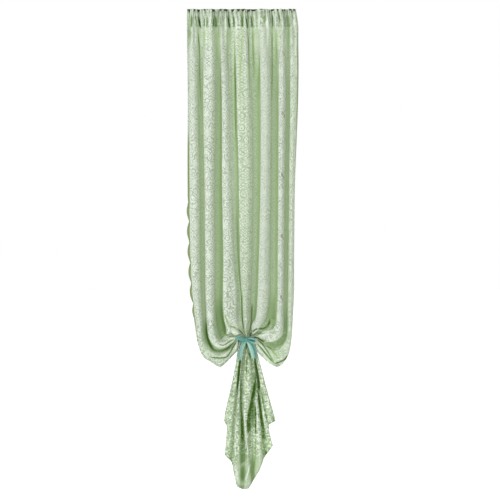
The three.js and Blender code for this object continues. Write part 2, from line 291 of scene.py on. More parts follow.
# Ribbon: sizes in millimetres, and places across it from -0.5 to 0.5
RIBBON_WIDTH = 17
RIB_PITCH = 1.1
RIPPLE_PITCH = 5.8
RIPPLE = 0.32
RIPPLE_WANDER = 9.0
CLOUDS_PER_METRE = 60
CLOUDINESS = 0.5
RIB_TINT = 0.06
RIBBON_COVER = 0.96
SELVEDGE_COVER = 0.1
SELVEDGE_FROM = 7.2
SELVEDGE_SIDE = 0.35
SELVEDGE_TINT = 0.3
PAINTED_LIGHT_CHANGES = (-0.12, 0.08)
KNOT_SHADOW = 0.5
SHADOW_ENDS = 0.3
WIDENED_AT = 0.4
CUP_FLATNESS = 1.5
BOW_ROWS = 61
BOW_COLUMNS = 17

# Knot, in millimetres
KNOT_MIDDLE = (12.5, -29, -1380)
KNOT_HALF = (7, 4.5, 8)
KNOT_PLEATS = 7
KNOT_PLEAT_DEPTH = 0.07
KNOT_LIT = 0.3
KNOT_LIT_SIDE = (0.1, 0.8)
KNOT_FLAT_RADIUS = 8.5
KNOT_COLUMNS = 49
KNOT_ROWS = 25

# Colours as linear light
WHITE = (1, 1, 1)
GROUND_COLOUR = (0.27, 0.305, 0.26)
THREAD_COLOUR = (0.74, 0.78, 0.72)
# Pale flecks, and painted light on ridge edges, creases and flat folds
PALE_AND_PAINTED_LIGHT = (0.78, 0.86, 0.74)
# Painted shade in valleys, creases and hollows, on the ground and on the threads, and deep painted shade
SHADED_GROUND = (0.25, 0.38, 0.15)
SHADED_THREAD = (0.42, 0.54, 0.31)
DEEP_PAINTED_SHADE = (0.03, 0.09, 0.005)
FLECK_GREEN = (0.13, 0.24, 0.08)
GLOW = (0.55, 0.68, 0.44)
DEEP_GLOW = (0.09, 0.23, 0.01)
# Painted shade on the scalloped edge, and the brown line of the bottom hem
OLIVE_SHADE_AND_HEM = (0.22, 0.27, 0.12)
BROWN = (0.17, 0.09, 0.06)
TEAL = (0.006, 0.165, 0.125)
# The ribbon's painted lit colour, mixed with TEAL by the painted light and shade
PAINTED_LIT_TEAL = (0.30, 0.53, 0.46)

# Fold lines: r is a ridge towards the viewer, v a valley behind it. hang is x at the heights of HANG_Z.
HANG_Z = [-171, -380, -714, -1048, -1248]
HANGING = table(
    "line depth hang",
    ("left_edge", 14, [-233, -231, -232, -226, -211]),
    ("r1", -26, [-205, -212, -209, -205, -193]),
    ("v1", 27, [-184, -180, -171, -169, -163]),
    ("r2", -30, [-136, -146, -148, -144, -143]),
    ("v2", 26, [-106, -104, -108, -107, -106]),
    ("r3", -27, [-84, -79, -75, -68, -69]),
    ("v3", 23, [-56, -50, -38, -25, -10]),
    ("r4", -25, [8, 10, 12, 7, 7]),
    ("v4", 30, [34, 44, 49, 46, 38]),
    ("r5", -28, [92, 90, 86, 77, 69]),
    ("v5", 27, [121, 127, 127, 125, 121]),
    ("r6", -29, [163, 159, 157, 154, 152]),
    ("v6", 24, [184, 187, 182, 180, 177]),
    ("r7", -25, [209, 207, 205, 202, 198]),
    ("right_edge", -10, [232, 230, 217, 213, 210]),
)

# Over the tie the cloth bags out: where each line turns, is lowest, and rises to the neck, as x and z.
BAGGING = table(
    "line side low rise pointed",
    ("left_edge", (-169, -1449), (-94, -1498), (-20, -1420), 0.75),
    ("r1", (-157, -1420), (-97, -1461), (-27, -1409), 0.5),
    ("v1", (-148, -1386), (-100, -1430), (-37, -1397)),
    ("r2", (-126, -1378), (-92, -1399), (-43, -1383)),
    ("v2", (-92, -1345), (-80, -1378), (-48, -1358)),
    ("r3", (-65, -1290), (-52, -1327), (-47, -1346)),
    ("v3", (-11, -1270), (-9, -1291), (-6, -1312)),
    ("r4", (11, -1278), (13, -1302), (14, -1325)),
    ("v4", (35, -1278), (31, -1302), (27, -1326)),
    ("r5", (64, -1289), (56, -1317), (51, -1340)),
    ("v5", (107, -1295), (84, -1326), (66, -1351)),
    ("r6", (146, -1338), (114, -1366), (78, -1362)),
    ("v6", (170, -1369), (138, -1404), (77, -1386)),
    ("r7", (187, -1408), (140, -1457), (64, -1407)),
    ("right_edge", (186, -1450), (143, -1494), (51, -1419), 0.12),
)

# Below the tie the tail opens like a fan: depth, x at the heights of FAN_Z, x halfway on, and the hem's x, z.
FAN_Z = [-1482, -1549, -1632]
TAIL = table(
    "line fall fan half hem",
    ("left_edge", 8, [-31, -44, -63], -73, (-80, -1717)),
    ("r1", -16, [-27, -39, -57], -66, (-66, -1742)),
    ("v1", -14, [-23, -33, -50], -62, (-70, -1790)),
    ("r2", -25, [-19, -28, -44], -58, (-77, -1859)),
    ("v2", 22, [-14, -21, -29], -40, (-47, -1893)),
    ("r3", -24, [-8, -14, -20], -27, (-27, -1991)),
    ("v3", 25, [-1, -7, -9], 0, (-4, -2006)),
    ("r4", -26, [15, 14, 13], 17, (23, -2001)),
    ("v4", 28, [42, 48, 42], 28, (40, -1975)),
    ("r5", -23, [49, 59, 58], 63, (69, -1924)),
    ("v5", 22, [54, 66, 70], 83, (88, -1874)),
    ("r6", -24, [59, 73, 84], 95, (124, -1822)),
    ("v6", -16, [63, 78, 94], 104, (110, -1773)),
    ("r7", -18, [68, 83, 103], 112, (107, -1734)),
    ("right_edge", -4, [72, 89, 112], 125, (136, -1719)),
)

# Small extra folds on the wide stretches between two lines.
EXTRA_FOLDS = table(
    "after depth top bottom",
    ("v3", 15, -60, -900),
    ("r3", -11, -1000, -1345),
)

# Down the cloth: rows of faces up to each level, and the share of the full fold depth there.
LEVELS = table(
    "level rows swell",
    ("seam", 0, 1),
    ("top", 18, 1),
    ("upper", 20, 1),
    ("middle", 26, 1),
    ("lower", 26, 1.05),
    ("bag_start", 20, 1.1),
    ("side", 34, 1.15),
    ("low", 30, 1),
    ("rise", 28, 0.62),
    ("beside", 5, 0),
    ("over", 6, 0),
    ("inside", 6, 0),
    ("out", 4, 0),
    ("fan_top", 16, 0.9),
    ("fan_middle", 12, 0.9),
    ("fan_bottom", 15, 1),
    ("tail", 20, 1),
    ("hem", 26, 0.9),
)
SWELL = {row["level"]: row["swell"] for row in LEVELS}

# The photograph's scale: millimetres in a pixel, and the pixel of the part's origin
PIXEL = 4.175
ORIGIN_PIXEL_X = 243
ORIGIN_PIXEL_Y = 9

# The painted shade of each valley on the flank before it, on its floor, on the flank after it, and all over
# in the tail, and how far towards the next ridge that ridge's sharp edge lies.
VALLEY_SHADES = table(
    "line before floor after tail edge",
    ("v1", 0.5, 0.7, 1.0, 0.1, -0.1),
    ("v2", 0.45, 0.8, 1.4, 0.6, 0.13),
    ("v3", 0.2, 0.45, 1.3, 0.5, -0.12),
    ("v4", 0.5, 0.45, 1.1, 0.7, 0.15),
    ("v5", 0.5, 0.6, 1.1, 0.6, 0.18),
    ("v6", 0.45, 0.8, 0.8, 0.1, -0.07),
)
SHADES = {row["line"]: row for row in VALLEY_SHADES}

# Where each of these fades, in legs from the fold line: a leg is the stretch from one line to the next
FLOOR_EDGE = (0.04, 0.2)
BEFORE_EDGE = (0.2, 0.52)
AFTER_EDGE = (0.42, 0.56)
TAIL_VALLEY_EDGE = (0.05, 0.5)
RIDGE_GREEN_EDGE = (0.3, 0.6)
# Where the painted highlight on each ridge's left edge starts and ends
RIDGE_RIM_START = (-0.58, -0.5)
RIDGE_RIM_END = (-0.34, -0.2)

# How strongly the pattern stands out on each ridge, and how green the greener ridges are
RIDGE_PATTERN = {"r1": 1.05, "r2": 1.2, "r3": 1.1, "r4": 1.45, "r5": 0.48, "r6": 0.95, "r7": 1.3}
VALLEY_PATTERN = 0.9
RIDGE_GREEN = {"r4": 0.3, "r7": 0.25}

# Spots of painted shade, or of painted light where negative: middle and half size in the photograph's pixels,
# and strength
PAINTED_SHADE_SPOTS = table(
    "overlap seen half green",
    ("inside of the hem", (242.5, 475), (3, 9), 0.45),
    ("right of the streak", (254, 466), (4, 12), 0.1),
    ("left hem ridge", (237, 460), (3, 10), 0.35),
    ("right hem ridge", (259, 456), (3, 7), 0.35),
    ("tip", (243, 486), (8, 3), -0.4),
    ("right hem corner", (267, 446), (4, 6), 0.45),
    ("right hem fold", (267, 453), (4, 2), 1.2),
    ("above the knot", (246.5, 334), (2.2, 3.4), 0.3),
    ("left of the knot", (236, 333), (8, 4), -0.35),
    ("right of the knot", (256, 335), (7, 3.5), -0.4),
    ("below the left loop", (236, 346), (5, 5), -0.4),
    ("below the right loop", (258, 347), (5, 5), -0.4),
    ("right pouch fold", (271, 348), (4, 3.4), 0.3),
    ("left pouch bottom", (219, 349), (8, 5), -0.35),
    ("left of the folds", (237, 326), (4, 8), -0.4),
    ("right of the folds", (249, 326), (3, 8), -0.4),
    ("fifth valley's foot", (266, 327), (5, 6), -0.45),
    ("right valley foot", (273, 330), (2, 10), 0.3),
)

# Hollows and flat folds between the creases: how far they lie back, their painted shade (painted light where
# negative), and their outline in the photograph's pixels.
POUCH_PATCHES = table(
    "patch back green seen soft",
    ("second valley's hollow", 5, 0.6,
     [(214.5, 290), (220.5, 290), (222, 310), (224, 321), (227.5, 328), (226, 333), (219.5, 342),
      (216, 337), (213.5, 328)]),
    ("first valley's foot", 3, 0.45,
     [(200.5, 318), (205.3, 318), (207, 338), (212.5, 349.5), (208.5, 356), (204, 351), (201.3, 336)]),
    ("second ridge's foot", -2, -0.2,
     [(208, 322), (212, 322), (214.5, 336), (218.5, 344), (214, 348), (209, 342)]),
    ("sixth valley's foot", 5, 0.45,
     [(285.5, 300), (288.5, 300), (288.5, 338), (282.5, 345), (275, 348), (263, 343), (274, 341.5),
      (283, 336)]),
    ("left flat fold", -3, -0.3,
     [(227, 331.5), (235.5, 334), (235.5, 337.5), (222.5, 341), (220, 342), (223.5, 336.5)]),
    ("left tip", -1, 0.2, [(208, 358.5), (226, 358.5), (229, 356), (221, 366), (212, 362)]),
    ("right lower fold", -2, 0.25,
     [(264, 346), (276, 350), (284, 348), (283, 357), (275, 361.5), (270, 353.5)]),
    ("fifth valley's foot", 3, 0.4,
     [(270, 285), (275, 285), (275, 320), (271, 319), (268, 325), (262, 327.5), (266, 318)]),
)

# The same for the tail
TAIL_PATCHES = table(
    "patch back green seen soft",
    ("below the wedge", 4, 0.75,
     [(241.2, 418), (243.2, 418), (244.5, 436), (247.2, 454), (247.2, 462), (240, 464), (239.4, 446)], 5),
    ("dark speckled fold", 3, 1.2,
     [(255, 366), (258, 366), (259.8, 388), (256.5, 394), (252, 397), (254.6, 382)], 4),
    ("middle hollow", 3, 0.9,
     [(251, 392), (256.3, 392), (254.8, 408), (255, 424), (249.5, 432), (246.6, 424), (248.8, 406)], 6),
    ("inside the hem left of the streak", 3, 0.45,
     [(241, 463), (248.2, 463), (246.2, 473), (243.5, 481.5), (240.3, 479)], 4),
    ("inside the hem right of the streak", 3, 0.3,
     [(251.3, 452), (256.5, 452), (258, 466), (252, 478), (247.8, 483)], 5),
    ("right green wedge", 2, 1.1, [(261.2, 414), (263, 414), (266.8, 439), (261.8, 439)], 4),
)

# Creases and small folds: height towards the viewer, or a trough if negative, and half width in millimetres,
# the painted shade in them (a painted highlight if negative), the path along them where the photograph shows
# it, in its pixels, and the share of that path over which they fade in or out. First the grooves of the rod
# pocket.
POCKET_GROOVES = table(
    "height width green seen",
    (-5, 7, 1.35, [(191.5, 14), (192, 20), (191, 28)]),
    (-4, 3, 1.6, [(194.5, 14), (196.3, 20), (196.8, 28)]),
    (-6, 5, 2.1, [(197.8, 16), (199.3, 21), (200.5, 28)]),
    (-4, 3.5, 1.5, [(202.6, 14), (204.3, 20), (204, 28)]),
    (-3, 4, 0.9, [(207, 15), (207.5, 22), (206.5, 29)]),
    (-7, 12, 0.9, [(215.5, 15), (216, 21), (216, 28)]),
    (-3, 3, 1.3, [(213.6, 16), (213.5, 21), (213.4, 28)]),
    (-4, 3, 0.8, [(219.5, 15), (221, 20), (222, 29)]),
    (-6, 4.5, 1.9, [(226.8, 14), (228.3, 20), (229.7, 28)]),
    (-5, 4, 2.0, [(233.4, 12.5), (233.8, 20), (234, 28)]),
    (-5, 5, 1.5, [(241.5, 15), (242, 20), (242.3, 28)]),
    (-5, 4, 2, [(245, 16), (246.5, 21), (247.5, 29)]),
    (-5, 6, 1.6, [(250.5, 12.5), (251.6, 20), (252.2, 28)]),
    (-3, 7, 0.8, [(263.5, 14), (264.6, 19), (264, 24)]),
    (-6, 3.4, 1.2, [(271.8, 12), (272.4, 19), (272.6, 28)]),
    (-4, 3, 0.9, [(278.5, 12), (279.3, 18), (279.8, 24)]),
    (-4, 15, 0.5, [(288, 14), (288, 20), (288.5, 28)]),
    start_fade=0.45,
)

# Thin ridges between them: x at the pocket's top and foot in the photograph's pixels, and half width
POCKET_TOP_Y = 12.5
POCKET_FOOT_Y = 29
POCKET_RIDGES = table(
    "top foot width",
    (194.2, 194.4, 2.5), (197.2, 197.0, 2), (201.6, 201.8, 2.5), (206, 205.2, 2.5), (210.3, 209.6, 6),
    (218.9, 219.3, 2.2), (225.2, 225.6, 6), (231, 231.8, 3), (236.2, 236.8, 4), (239.3, 240, 2.5),
    (244.4, 245, 3), (249, 249.8, 2.5), (254, 255.5, 3), (258.5, 259, 6), (267, 267, 9), (275.2, 275.5, 3),
    (282.5, 283, 5), (293.5, 294, 6),
)

# Where the folds start below the pocket, and the hollows between them, with painted shade along them
FOLD_STARTS = table(
    "height width green seen",
    (-3, 6, 0.9, [(190, 27), (190, 38), (189.5, 50)]),
    (-5, 3, 1.5, [(197, 26), (199, 45), (199.6, 75), (201.3, 118)]),
    (-4, 7, 0.9, [(204.5, 26), (204.3, 40), (205, 62)]),
    (-4, 4, 0.5, [(230, 25), (230, 38), (229.6, 60)]),
    (-5, 3, 1.0, [(233.8, 26), (234.6, 45), (234.9, 80), (235.4, 130), (236, 190)]),
    (-4, 6, 0.6, [(242.5, 26), (241.5, 50), (240.3, 80), (240.8, 130)]),
    (-5, 3.4, 1.2, [(247.3, 26), (248.6, 45), (249, 70), (250.5, 110)]),
    (-3, 6, 0.5, [(258.5, 27), (259, 45), (260, 66)]),
    (-5, 3.6, 1.1, [(272.1, 26), (272.2, 50), (272.2, 80), (271.5, 115)]),
    (-3, 11, 0.8, [(276.5, 24), (276.5, 45), (276, 82)]),
    end_fade=0.75,
)
TOP_HOLLOWS = table(
    "height width green seen",
    (-2, 12, 0.6, [(216.8, 24), (217, 45), (217.5, 74)]),
    (-2, 7, 0.6, [(227.5, 24), (227.5, 45), (228, 82)]),
    (-2, 7, 1.0, [(252.5, 24), (253, 45), (254.5, 88)]),
    (-2, 13, 0.55, [(288.5, 24), (288.3, 45), (287.5, 68)]),
    (-2, 5, 0.5, [(259.5, 50), (259, 70), (258.5, 100)]),
    (-2, 9, 0.55, [(238.8, 24), (238.8, 45), (239, 80)]),
    end_fade=0.6,
)
HANGING_LINES = table(
    "crease height width green seen",
    ("small ridge", 4, 5, 0, [(231.8, 27), (232.2, 50), (232.8, 80), (233.5, 120)]),
    ("edge line", -3, 4, 0.9, [(297.3, 27), (298, 75), (297, 120), (295.5, 190)]),
)

# Creases of the cloth drawn together above the ribbon and bagging over it, with painted shade in the troughs
# and painted highlights on the ridges
POUCH_CREASES = table(
    "crease height width green seen start_fade",
    ("left deep curve", -6, 8, 1.15,
     [(206, 318), (207.5, 338), (213, 349.5), (219, 351.5), (226, 349.5), (231, 345.5), (235.5, 341)]),
    ("left pouch crease", -5, 4, 1.9, [(207.5, 357), (226, 357), (230, 352.5), (233.5, 346.5), (237, 341)]),
    ("left second curve", -5, 4, 1.7, [(218, 344.3), (224, 344.8), (229, 341.8), (235, 338.6)]),
    ("left second ridge", 5, 6, -0.5, [(213, 344.5), (219, 346), (226, 345), (232, 341), (236, 339.5)]),
    ("left flat fold", 5, 6, -0.5, [(220.5, 341), (224.5, 338.5), (230, 338.3), (235, 337.5)]),
    ("left flat groove", -3, 3, 1.3, [(228.5, 337), (232, 336.2), (235, 336.2)]),
    ("left upper groove", -5, 4.5, 1.4, [(228, 325), (233, 326.8), (238.5, 330), (242, 333), (244.2, 336)]),
    ("left thin ridge", 5, 4.5, -0.3, [(222.5, 312), (225, 322), (228.5, 327.5), (235, 331), (241, 335.5)]),
    ("left small trough", -4, 5, 1, [(224.3, 314), (227.5, 321), (230, 325)]),
    ("left tip fold", 4, 9, 0, [(213, 361), (220, 364), (226, 358)]),
    ("third valley edge", -3, 3.5, 0.8, [(235.6, 165), (236.6, 215), (238.2, 260), (241.2, 300)], 0.5),
    ("third valley line", -4, 4, 1.3, [(242, 292), (242, 306), (242.5, 320), (244, 329), (245.6, 335)]),
    ("middle line", -3, 3, 1.1, [(247, 322), (247, 330), (247.3, 336)]),
    ("fourth valley line", -5, 4, 1.4, [(252.2, 303), (251.5, 317), (250.3, 328), (248.8, 336)]),
    ("right hollow 1", -5, 4, 2.4, [(251.8, 332.5), (250.3, 334.8), (249.5, 336.5)]),
    ("right hollow 2", -5, 3.5, 2.4, [(257.5, 328.3), (254.5, 330), (252.5, 332)]),
    ("right hollow 3", -4, 3, 1.7, [(258, 331.5), (255.5, 333), (253.5, 334.5)]),
    ("right upper groove", -6, 5, 1.5, [(270.5, 319), (268, 325.5), (263.5, 328.5), (257, 328.8)]),
    ("right upper fold", 6, 5, -0.5, [(272, 324), (268, 330), (263, 331), (258, 330.2), (253.5, 332.5)]),
    ("right second groove", -3, 3, 1, [(266, 332.8), (261, 333.5), (256, 333.8), (252, 336)]),
    ("right second fold", 5, 5, -0.5, [(270, 333), (262, 335), (256, 335.5), (251, 337)]),
    ("right third groove", -5, 3.5, 2, [(253, 337.4), (257, 337.4), (260, 339.8), (265, 342)]),
    ("right lobe rim", 5, 6, -0.5, [(262, 340.5), (268, 342), (274, 340), (280, 336.5), (285.5, 330.5)]),
    ("lower right groove 1", -5, 3.5, 1.7,
     [(257.5, 340), (262, 343.8), (267, 350.5), (272, 359), (274.5, 363)]),
    ("lower right ridge 1", 5, 5, -0.5, [(258, 342.5), (263, 347), (268, 353.5), (273, 360)]),
    ("lower right groove 2", -5, 3.5, 1.8, [(255.8, 342), (261, 348), (267, 355), (273.5, 363)]),
    ("lower right ridge 2", 4, 6, -0.5, [(256, 346), (262, 353), (268, 360), (274, 365.5)]),
    ("lower right fold", -4, 5, 0.6, [(266, 345), (272, 350), (277, 356), (277, 360)]),
    ("right hem crease", -5, 4, 1.9, [(274, 363.5), (280, 361.6), (285, 358.7), (287.5, 355)]),
    ("right hem ridge", 4, 5, -0.5, [(274, 361), (280, 358.5), (285, 354.5)]),
    ("left under the bow", -5, 6, 2.4, [(238, 341), (240.5, 340.3), (243.5, 339.5)]),
)

# Creases of the tail, with painted shade in the grooves and painted highlights on the ridges
TAIL_CREASES = table(
    "crease height width green seen end_fade",
    ("tail groove 1", -7, 6, 2.8, [(240.4, 358), (239.2, 368), (238.1, 381), (236.8, 394)], 0.5),
    ("tail ridge 1", 4, 5, -0.4, [(241.2, 360), (239.8, 385), (238.6, 402)]),
    ("tail groove 2", -4, 4, 1.2, [(240.7, 374), (240.8, 395), (241.1, 412), (242.2, 424)]),
    ("tail wedge", -7, 6, 2.6, [(242, 416), (242, 427), (242.6, 440)]),
    ("tail short groove", -3, 4, 1.3, [(246.9, 352), (246.8, 362), (246.3, 376)]),
    ("tail short dark", -3, 3, 2, [(246.4, 343), (246.6, 350)]),
    ("tail short dark 2", -3, 3, 2, [(249, 353), (250.3, 357.5)]),
    ("tail groove 3", -7, 5.5, 2.8, [(254.3, 357), (255.4, 364), (256.6, 371), (258.4, 383), (259.3, 390)]),
    ("tail groove 3 lower", -7, 6, 2.2,
     [(255, 382), (253.6, 392), (251.8, 401), (249, 414), (248, 424), (248.3, 436)]),
    ("tail groove 4", -4, 4.5, 2.6, [(255.3, 405), (255.5, 420), (255.2, 438)], 0.4),
    ("tail groove 4 foot", -3, 5, 0.6, [(255.2, 432), (255.3, 450), (254, 470)]),
    ("tail thin ridge", 4, 4, -0.8, [(256.6, 390), (256.9, 408), (257.8, 425), (259.6, 450), (259.6, 468)]),
    ("tail groove 5", -6, 6, 2.6, [(257.8, 391), (259.3, 402), (261, 415), (262.6, 427)]),
    ("tail second thin ridge", 4, 3.5, -0.8, [(259.3, 390), (261.5, 406), (264, 421), (268, 438)]),
    ("tail groove 6", -3, 4, 1.3, [(261, 389), (263.4, 404), (266.5, 418), (267.6, 424)]),
    ("tail middle ridge", 5, 5, -0.8, [(243.6, 404), (244.6, 424), (246.6, 442), (248, 457)]),
    ("tail middle ridge 2", 4, 5, -0.8, [(251.8, 418), (251.6, 440), (250.4, 462)]),
    ("tail crossing fold", 4, 5, -0.5, [(249, 457), (245.5, 461.5), (240, 466), (235, 470)]),
    ("tail streak", 6, 4, -1.5, [(250.4, 463), (248.4, 471), (245.2, 481)]),
    ("tail left ridge", 4, 7, -0.6, [(235.5, 410), (235, 432), (235, 450), (236.4, 470), (238.8, 484)]),
)

# Hollows between the frill's loops along the top edge: middle, half width and depth, the first two in pixels
FRILL_HOLLOWS = table(
    "seen_x half depth",
    (189, 1.5, 12), (194.5, 0.9, 10), (198.5, 1.6, 11), (204.3, 1.0, 8), (207.5, 0.8, 5), (213.2, 1.7, 11),
    (220.3, 1.3, 10), (225.8, 2.2, 10), (232.7, 1.8, 11), (238.5, 1.9, 11), (243, 1.9, 11),
    (248.7, 2.0, 11), (253.5, 3.2, 9), (261.5, 2.5, 4), (272.3, 2.0, 9), (277.5, 1.3, 8), (282.5, 0.8, 8),
    (284.6, 0.7, 8), (290, 1.3, 8), (294, 1.0, 10),
)

# The thin ridges as creases with a painted highlight along them
POCKET_RIDGE_CREASES = table(
    "width seen",
    *((row["width"], [(row["top"], POCKET_TOP_Y), (row["foot"], POCKET_FOOT_Y)]) for row in POCKET_RIDGES),
    height=3,
    green=-1.1,
)
HEADING_CREASES = POCKET_GROOVES + POCKET_RIDGE_CREASES + FOLD_STARTS + TOP_HOLLOWS + HANGING_LINES

# Pieces of the bow along their paths from the knot, as x, y and z. The fourth column is the painted light and
# shade on the left and the right side.
BOW = table(
    "piece across widths pale sheer cup path",
    ("ribbon_left_loop", (0.25, 0, 0.95), (16.5, 12.5), (0.24, 0.1), 0.05, 0,
     [(11, -28, -1381), (-8, -33, -1376), (-25, -34, -1370), (-31, -31, -1368), (-24, -28.5, -1371),
      (11, -28, -1382)]),
    ("ribbon_right_loop", (0, -0.8, 0.6), (9, 13), (1.0, 0.45), 0, 0,
     [(14, -28, -1379), (28, -34, -1373.5), (45, -36, -1376.5), (55, -34, -1386), (47, -31, -1393),
      (30, -29, -1389), (14, -28, -1383)]),
    ("ribbon_left_end", (0.95, 0.1, -0.3), (13, 17), (0.35, 0.75), 0.35, 2,
     [(9, -28, -1384), (-2, -30, -1406), (-9, -29, -1427), (-15, -28, -1464)]),
    ("ribbon_right_end", (0.93, 0.1, 0.25), (10, 27), (1.05, 0.05), 0.3, 3,
     [(16, -28, -1384), (33, -31, -1404), (42, -30, -1427), (49, -29, -1456)]),
)


def smooth_step(start, end, value):
    share = np.clip((value - start) / (end - start), 0, 1)
    return share * share * (3 - 2 * share)


def mix(a, b, share):
    return a + (b - a) * share


def root_distance(a, b):
    return np.sum((b - a) ** 2, axis=1, keepdims=True) ** 0.25


def smooth_curve(points, places):
    """Points on a centripetal Catmull-Rom curve. places counts the given points, so 1.5 is between two."""
    ends = [2 * points[0] - points[1], 2 * points[-1] - points[-2]]
    knots = np.array([ends[0], *points, ends[1]])
    index = np.minimum(places.astype(int), len(points) - 2)
    t = (places - index)[:, None]
    p0, p1, p2, p3 = (knots[index + k] for k in range(4))
    step0, step1, step2 = root_distance(p0, p1), root_distance(p1, p2), root_distance(p2, p3)
    start = ((p1 - p0) / step0 - (p2 - p0) / (step0 + step1) + (p2 - p1) / step1) * step1
    end = ((p2 - p1) / step1 - (p3 - p1) / (step1 + step2) + (p3 - p2) / step2) * step1
    return p1 + start * t + (3 * (p2 - p1) - 2 * start - end) * t**2 + (2 * (p1 - p2) + start + end) * t**3


def pucker_depth(share):
    return -PUCKER_DEPTH * np.cos(2 * np.pi * PUCKER_COUNT * share)


def gathered_x(share, right):
    """x of the gathered cloth at a share of its width, straight between the fold lines."""
    tops = np.array([row["hang"][0] for row in HANGING], float)
    across = np.interp(share * (len(tops) - 1), np.arange(len(tops)), tops)
    return HEADING_LEFT + (across - tops[0]) / (tops[-1] - tops[0]) * (right - HEADING_LEFT)


def neck_points(order, rise):
    """Where a line lies at the neck: beside the band, over its rim, down inside it and out below."""
    inside_x = NECK_HALF_WIDTH * (2 * order / (len(HANGING) - 1) - 1)
    sideways = -1 if inside_x < 0 else 1
    in_ellipse = math.sqrt(1 - (inside_x / (NECK_HALF_WIDTH + EDGE_ROOM)) ** 2)
    depth = math.copysign(NECK_HALF_DEPTH, HANGING[order]["depth"]) * in_ellipse
    rim_x = BAND_HALF_WIDTH + RIBBON_THICKNESS
    rim_z = NECK_Z + BAND_HEIGHT / 2 + EDGE_ROOM
    radius = rim_x - abs(inside_x)
    arrival = math.atan2(rise[2] - rim_z, sideways * (rise[0] - NECK_X) - rim_x)
    start = min(max(arrival, 0), math.pi)

    def on_rim(angle):
        x = NECK_X + sideways * (rim_x + radius * math.cos(angle))
        return np.array([x, depth, rim_z + ARCH_FLATNESS * radius * math.sin(angle)])

    inside = on_rim(math.pi)
    turning = min(1, abs(inside_x) / STRAIGHT_WITHIN)
    beside = mix(mix(rise, inside, 1 / 3), on_rim(start), turning)
    over = mix(mix(rise, inside, 2 / 3), on_rim(math.pi / 2 + RIM_LEAN * start), turning)
    beside[1] = depth
    over[1] = depth
    out = np.array([NECK_X + OUT_SPREAD * inside_x, depth, NECK_Z - BAND_HEIGHT])
    return [beside, over, inside, out]


def fold_line(order, places):
    """One fold line at places counted in levels, from the seam down to the hem."""
    hanging, bagging, tail = HANGING[order], BAGGING[order], TAIL[order]
    fall = TAIL_DEPTH_SHARE * tail["fall"]

    def at(level, x, z, depth=hanging["depth"]):
        return np.array([x, depth * SWELL[level], z], float)

    rise = at("rise", *bagging["rise"])
    half_z = (FAN_Z[-1] + tail["hem"][1]) / 2
    fan_levels = ["fan_top", "fan_middle", "fan_bottom"]
    points = [at("seam", hanging["hang"][0], SEAM_Z - SEAM_GAP)]
    points += [at(LEVELS[i + 1]["level"], x, z) for i, (x, z) in enumerate(zip(hanging["hang"], HANG_Z))]
    points += [at("side", *bagging["side"]), at("low", *bagging["low"]), rise, *neck_points(order, rise)]
    points += [at(level, x, z, fall) for level, x, z in zip(fan_levels, tail["fan"], FAN_Z)]
    points += [at("tail", tail["half"], half_z, fall), at("hem", *tail["hem"], fall)]
    curve = smooth_curve(points, places)
    axes = [np.interp(places, np.arange(len(points)), axis) for axis in np.array(points).T]
    straight = np.stack(axes, axis=1)
    pointed = bagging.get("pointed", 0) * smooth_step(POINTED_FROM, POINTED_FROM + POINTED_EASE, places)
    pointed = pointed * smooth_step(POINTED_TO, POINTED_TO - POINTED_EASE, places)
    return mix(curve, straight, pointed[:, None])


def extra_fold(line, t, z):
    """How far the small extra folds after a line come forward."""
    push = np.zeros(z.shape)
    for fold in EXTRA_FOLDS:
        if fold["after"] == line:
            above = smooth_step(fold["bottom"], fold["bottom"] + EXTRA_FADE, z)
            below = 1 - smooth_step(fold["top"] - EXTRA_FADE, fold["top"], z)
            push += fold["depth"] * above * below * np.sin(2 * np.pi * t)
    return push


def seen_at(pixel_x, pixel_y):
    """x and z in millimetres of a place in the photograph."""
    return (pixel_x - ORIGIN_PIXEL_X) * PIXEL, (ORIGIN_PIXEL_Y - pixel_y) * PIXEL


def distance_to_path(x, z, path):
    """Distance from each point to a line of straight stretches, and the share of its length up to there."""
    nearest = np.full(x.shape, np.inf)
    along = np.zeros(x.shape)
    walked = 0
    for (x0, z0), (x1, z1) in zip(path, path[1:]):
        length = math.hypot(x1 - x0, z1 - z0)
        t = np.clip(((x - x0) * (x1 - x0) + (z - z0) * (z1 - z0)) / length**2, 0, 1)
        gap = np.hypot(x - mix(x0, x1, t), z - mix(z0, z1, t))
        along = np.where(gap < nearest, walked + t * length, along)
        nearest = np.minimum(nearest, gap)
        walked += length
    return nearest, along / walked


def rounded_path(seen):
    """A smooth path in millimetres through places seen in the photograph."""
    path = np.array([seen_at(*place) for place in seen])
    return smooth_curve(path, np.linspace(0, len(path) - 1, 4 * len(path) - 3)) if len(path) > 2 else path


def creased(x, z, creases):
    """How far the creases move the cloth towards the viewer, and their painted shade, painted light where
    negative.
    """
    push = np.zeros(x.shape)
    green = np.zeros(x.shape)
    for crease in creases:
        path = rounded_path(crease["seen"])
        width = CREASE_SLIMMING * crease["width"]
        reach = CREASE_REACH * width
        low, high = path.min(axis=0) - reach, path.max(axis=0) + reach
        near = (x > low[0]) & (x < high[0]) & (z > low[1]) & (z < high[1])
        gap, along = distance_to_path(x[near], z[near], path)
        start_fade = crease.get("start_fade", CREASE_FADE)
        end_fade = crease.get("end_fade", CREASE_FADE)
        ends = smooth_step(-CREASE_OVERRUN, start_fade, along)
        ends = ends * smooth_step(1 + CREASE_OVERRUN, 1 - end_fade, along)
        shape = ends * np.exp(-((gap / width) ** 2))
        push[near] += crease["height"] * shape
        green[near] += CREASE_SHADE_SCALE * crease["green"] * shape
    return push, green


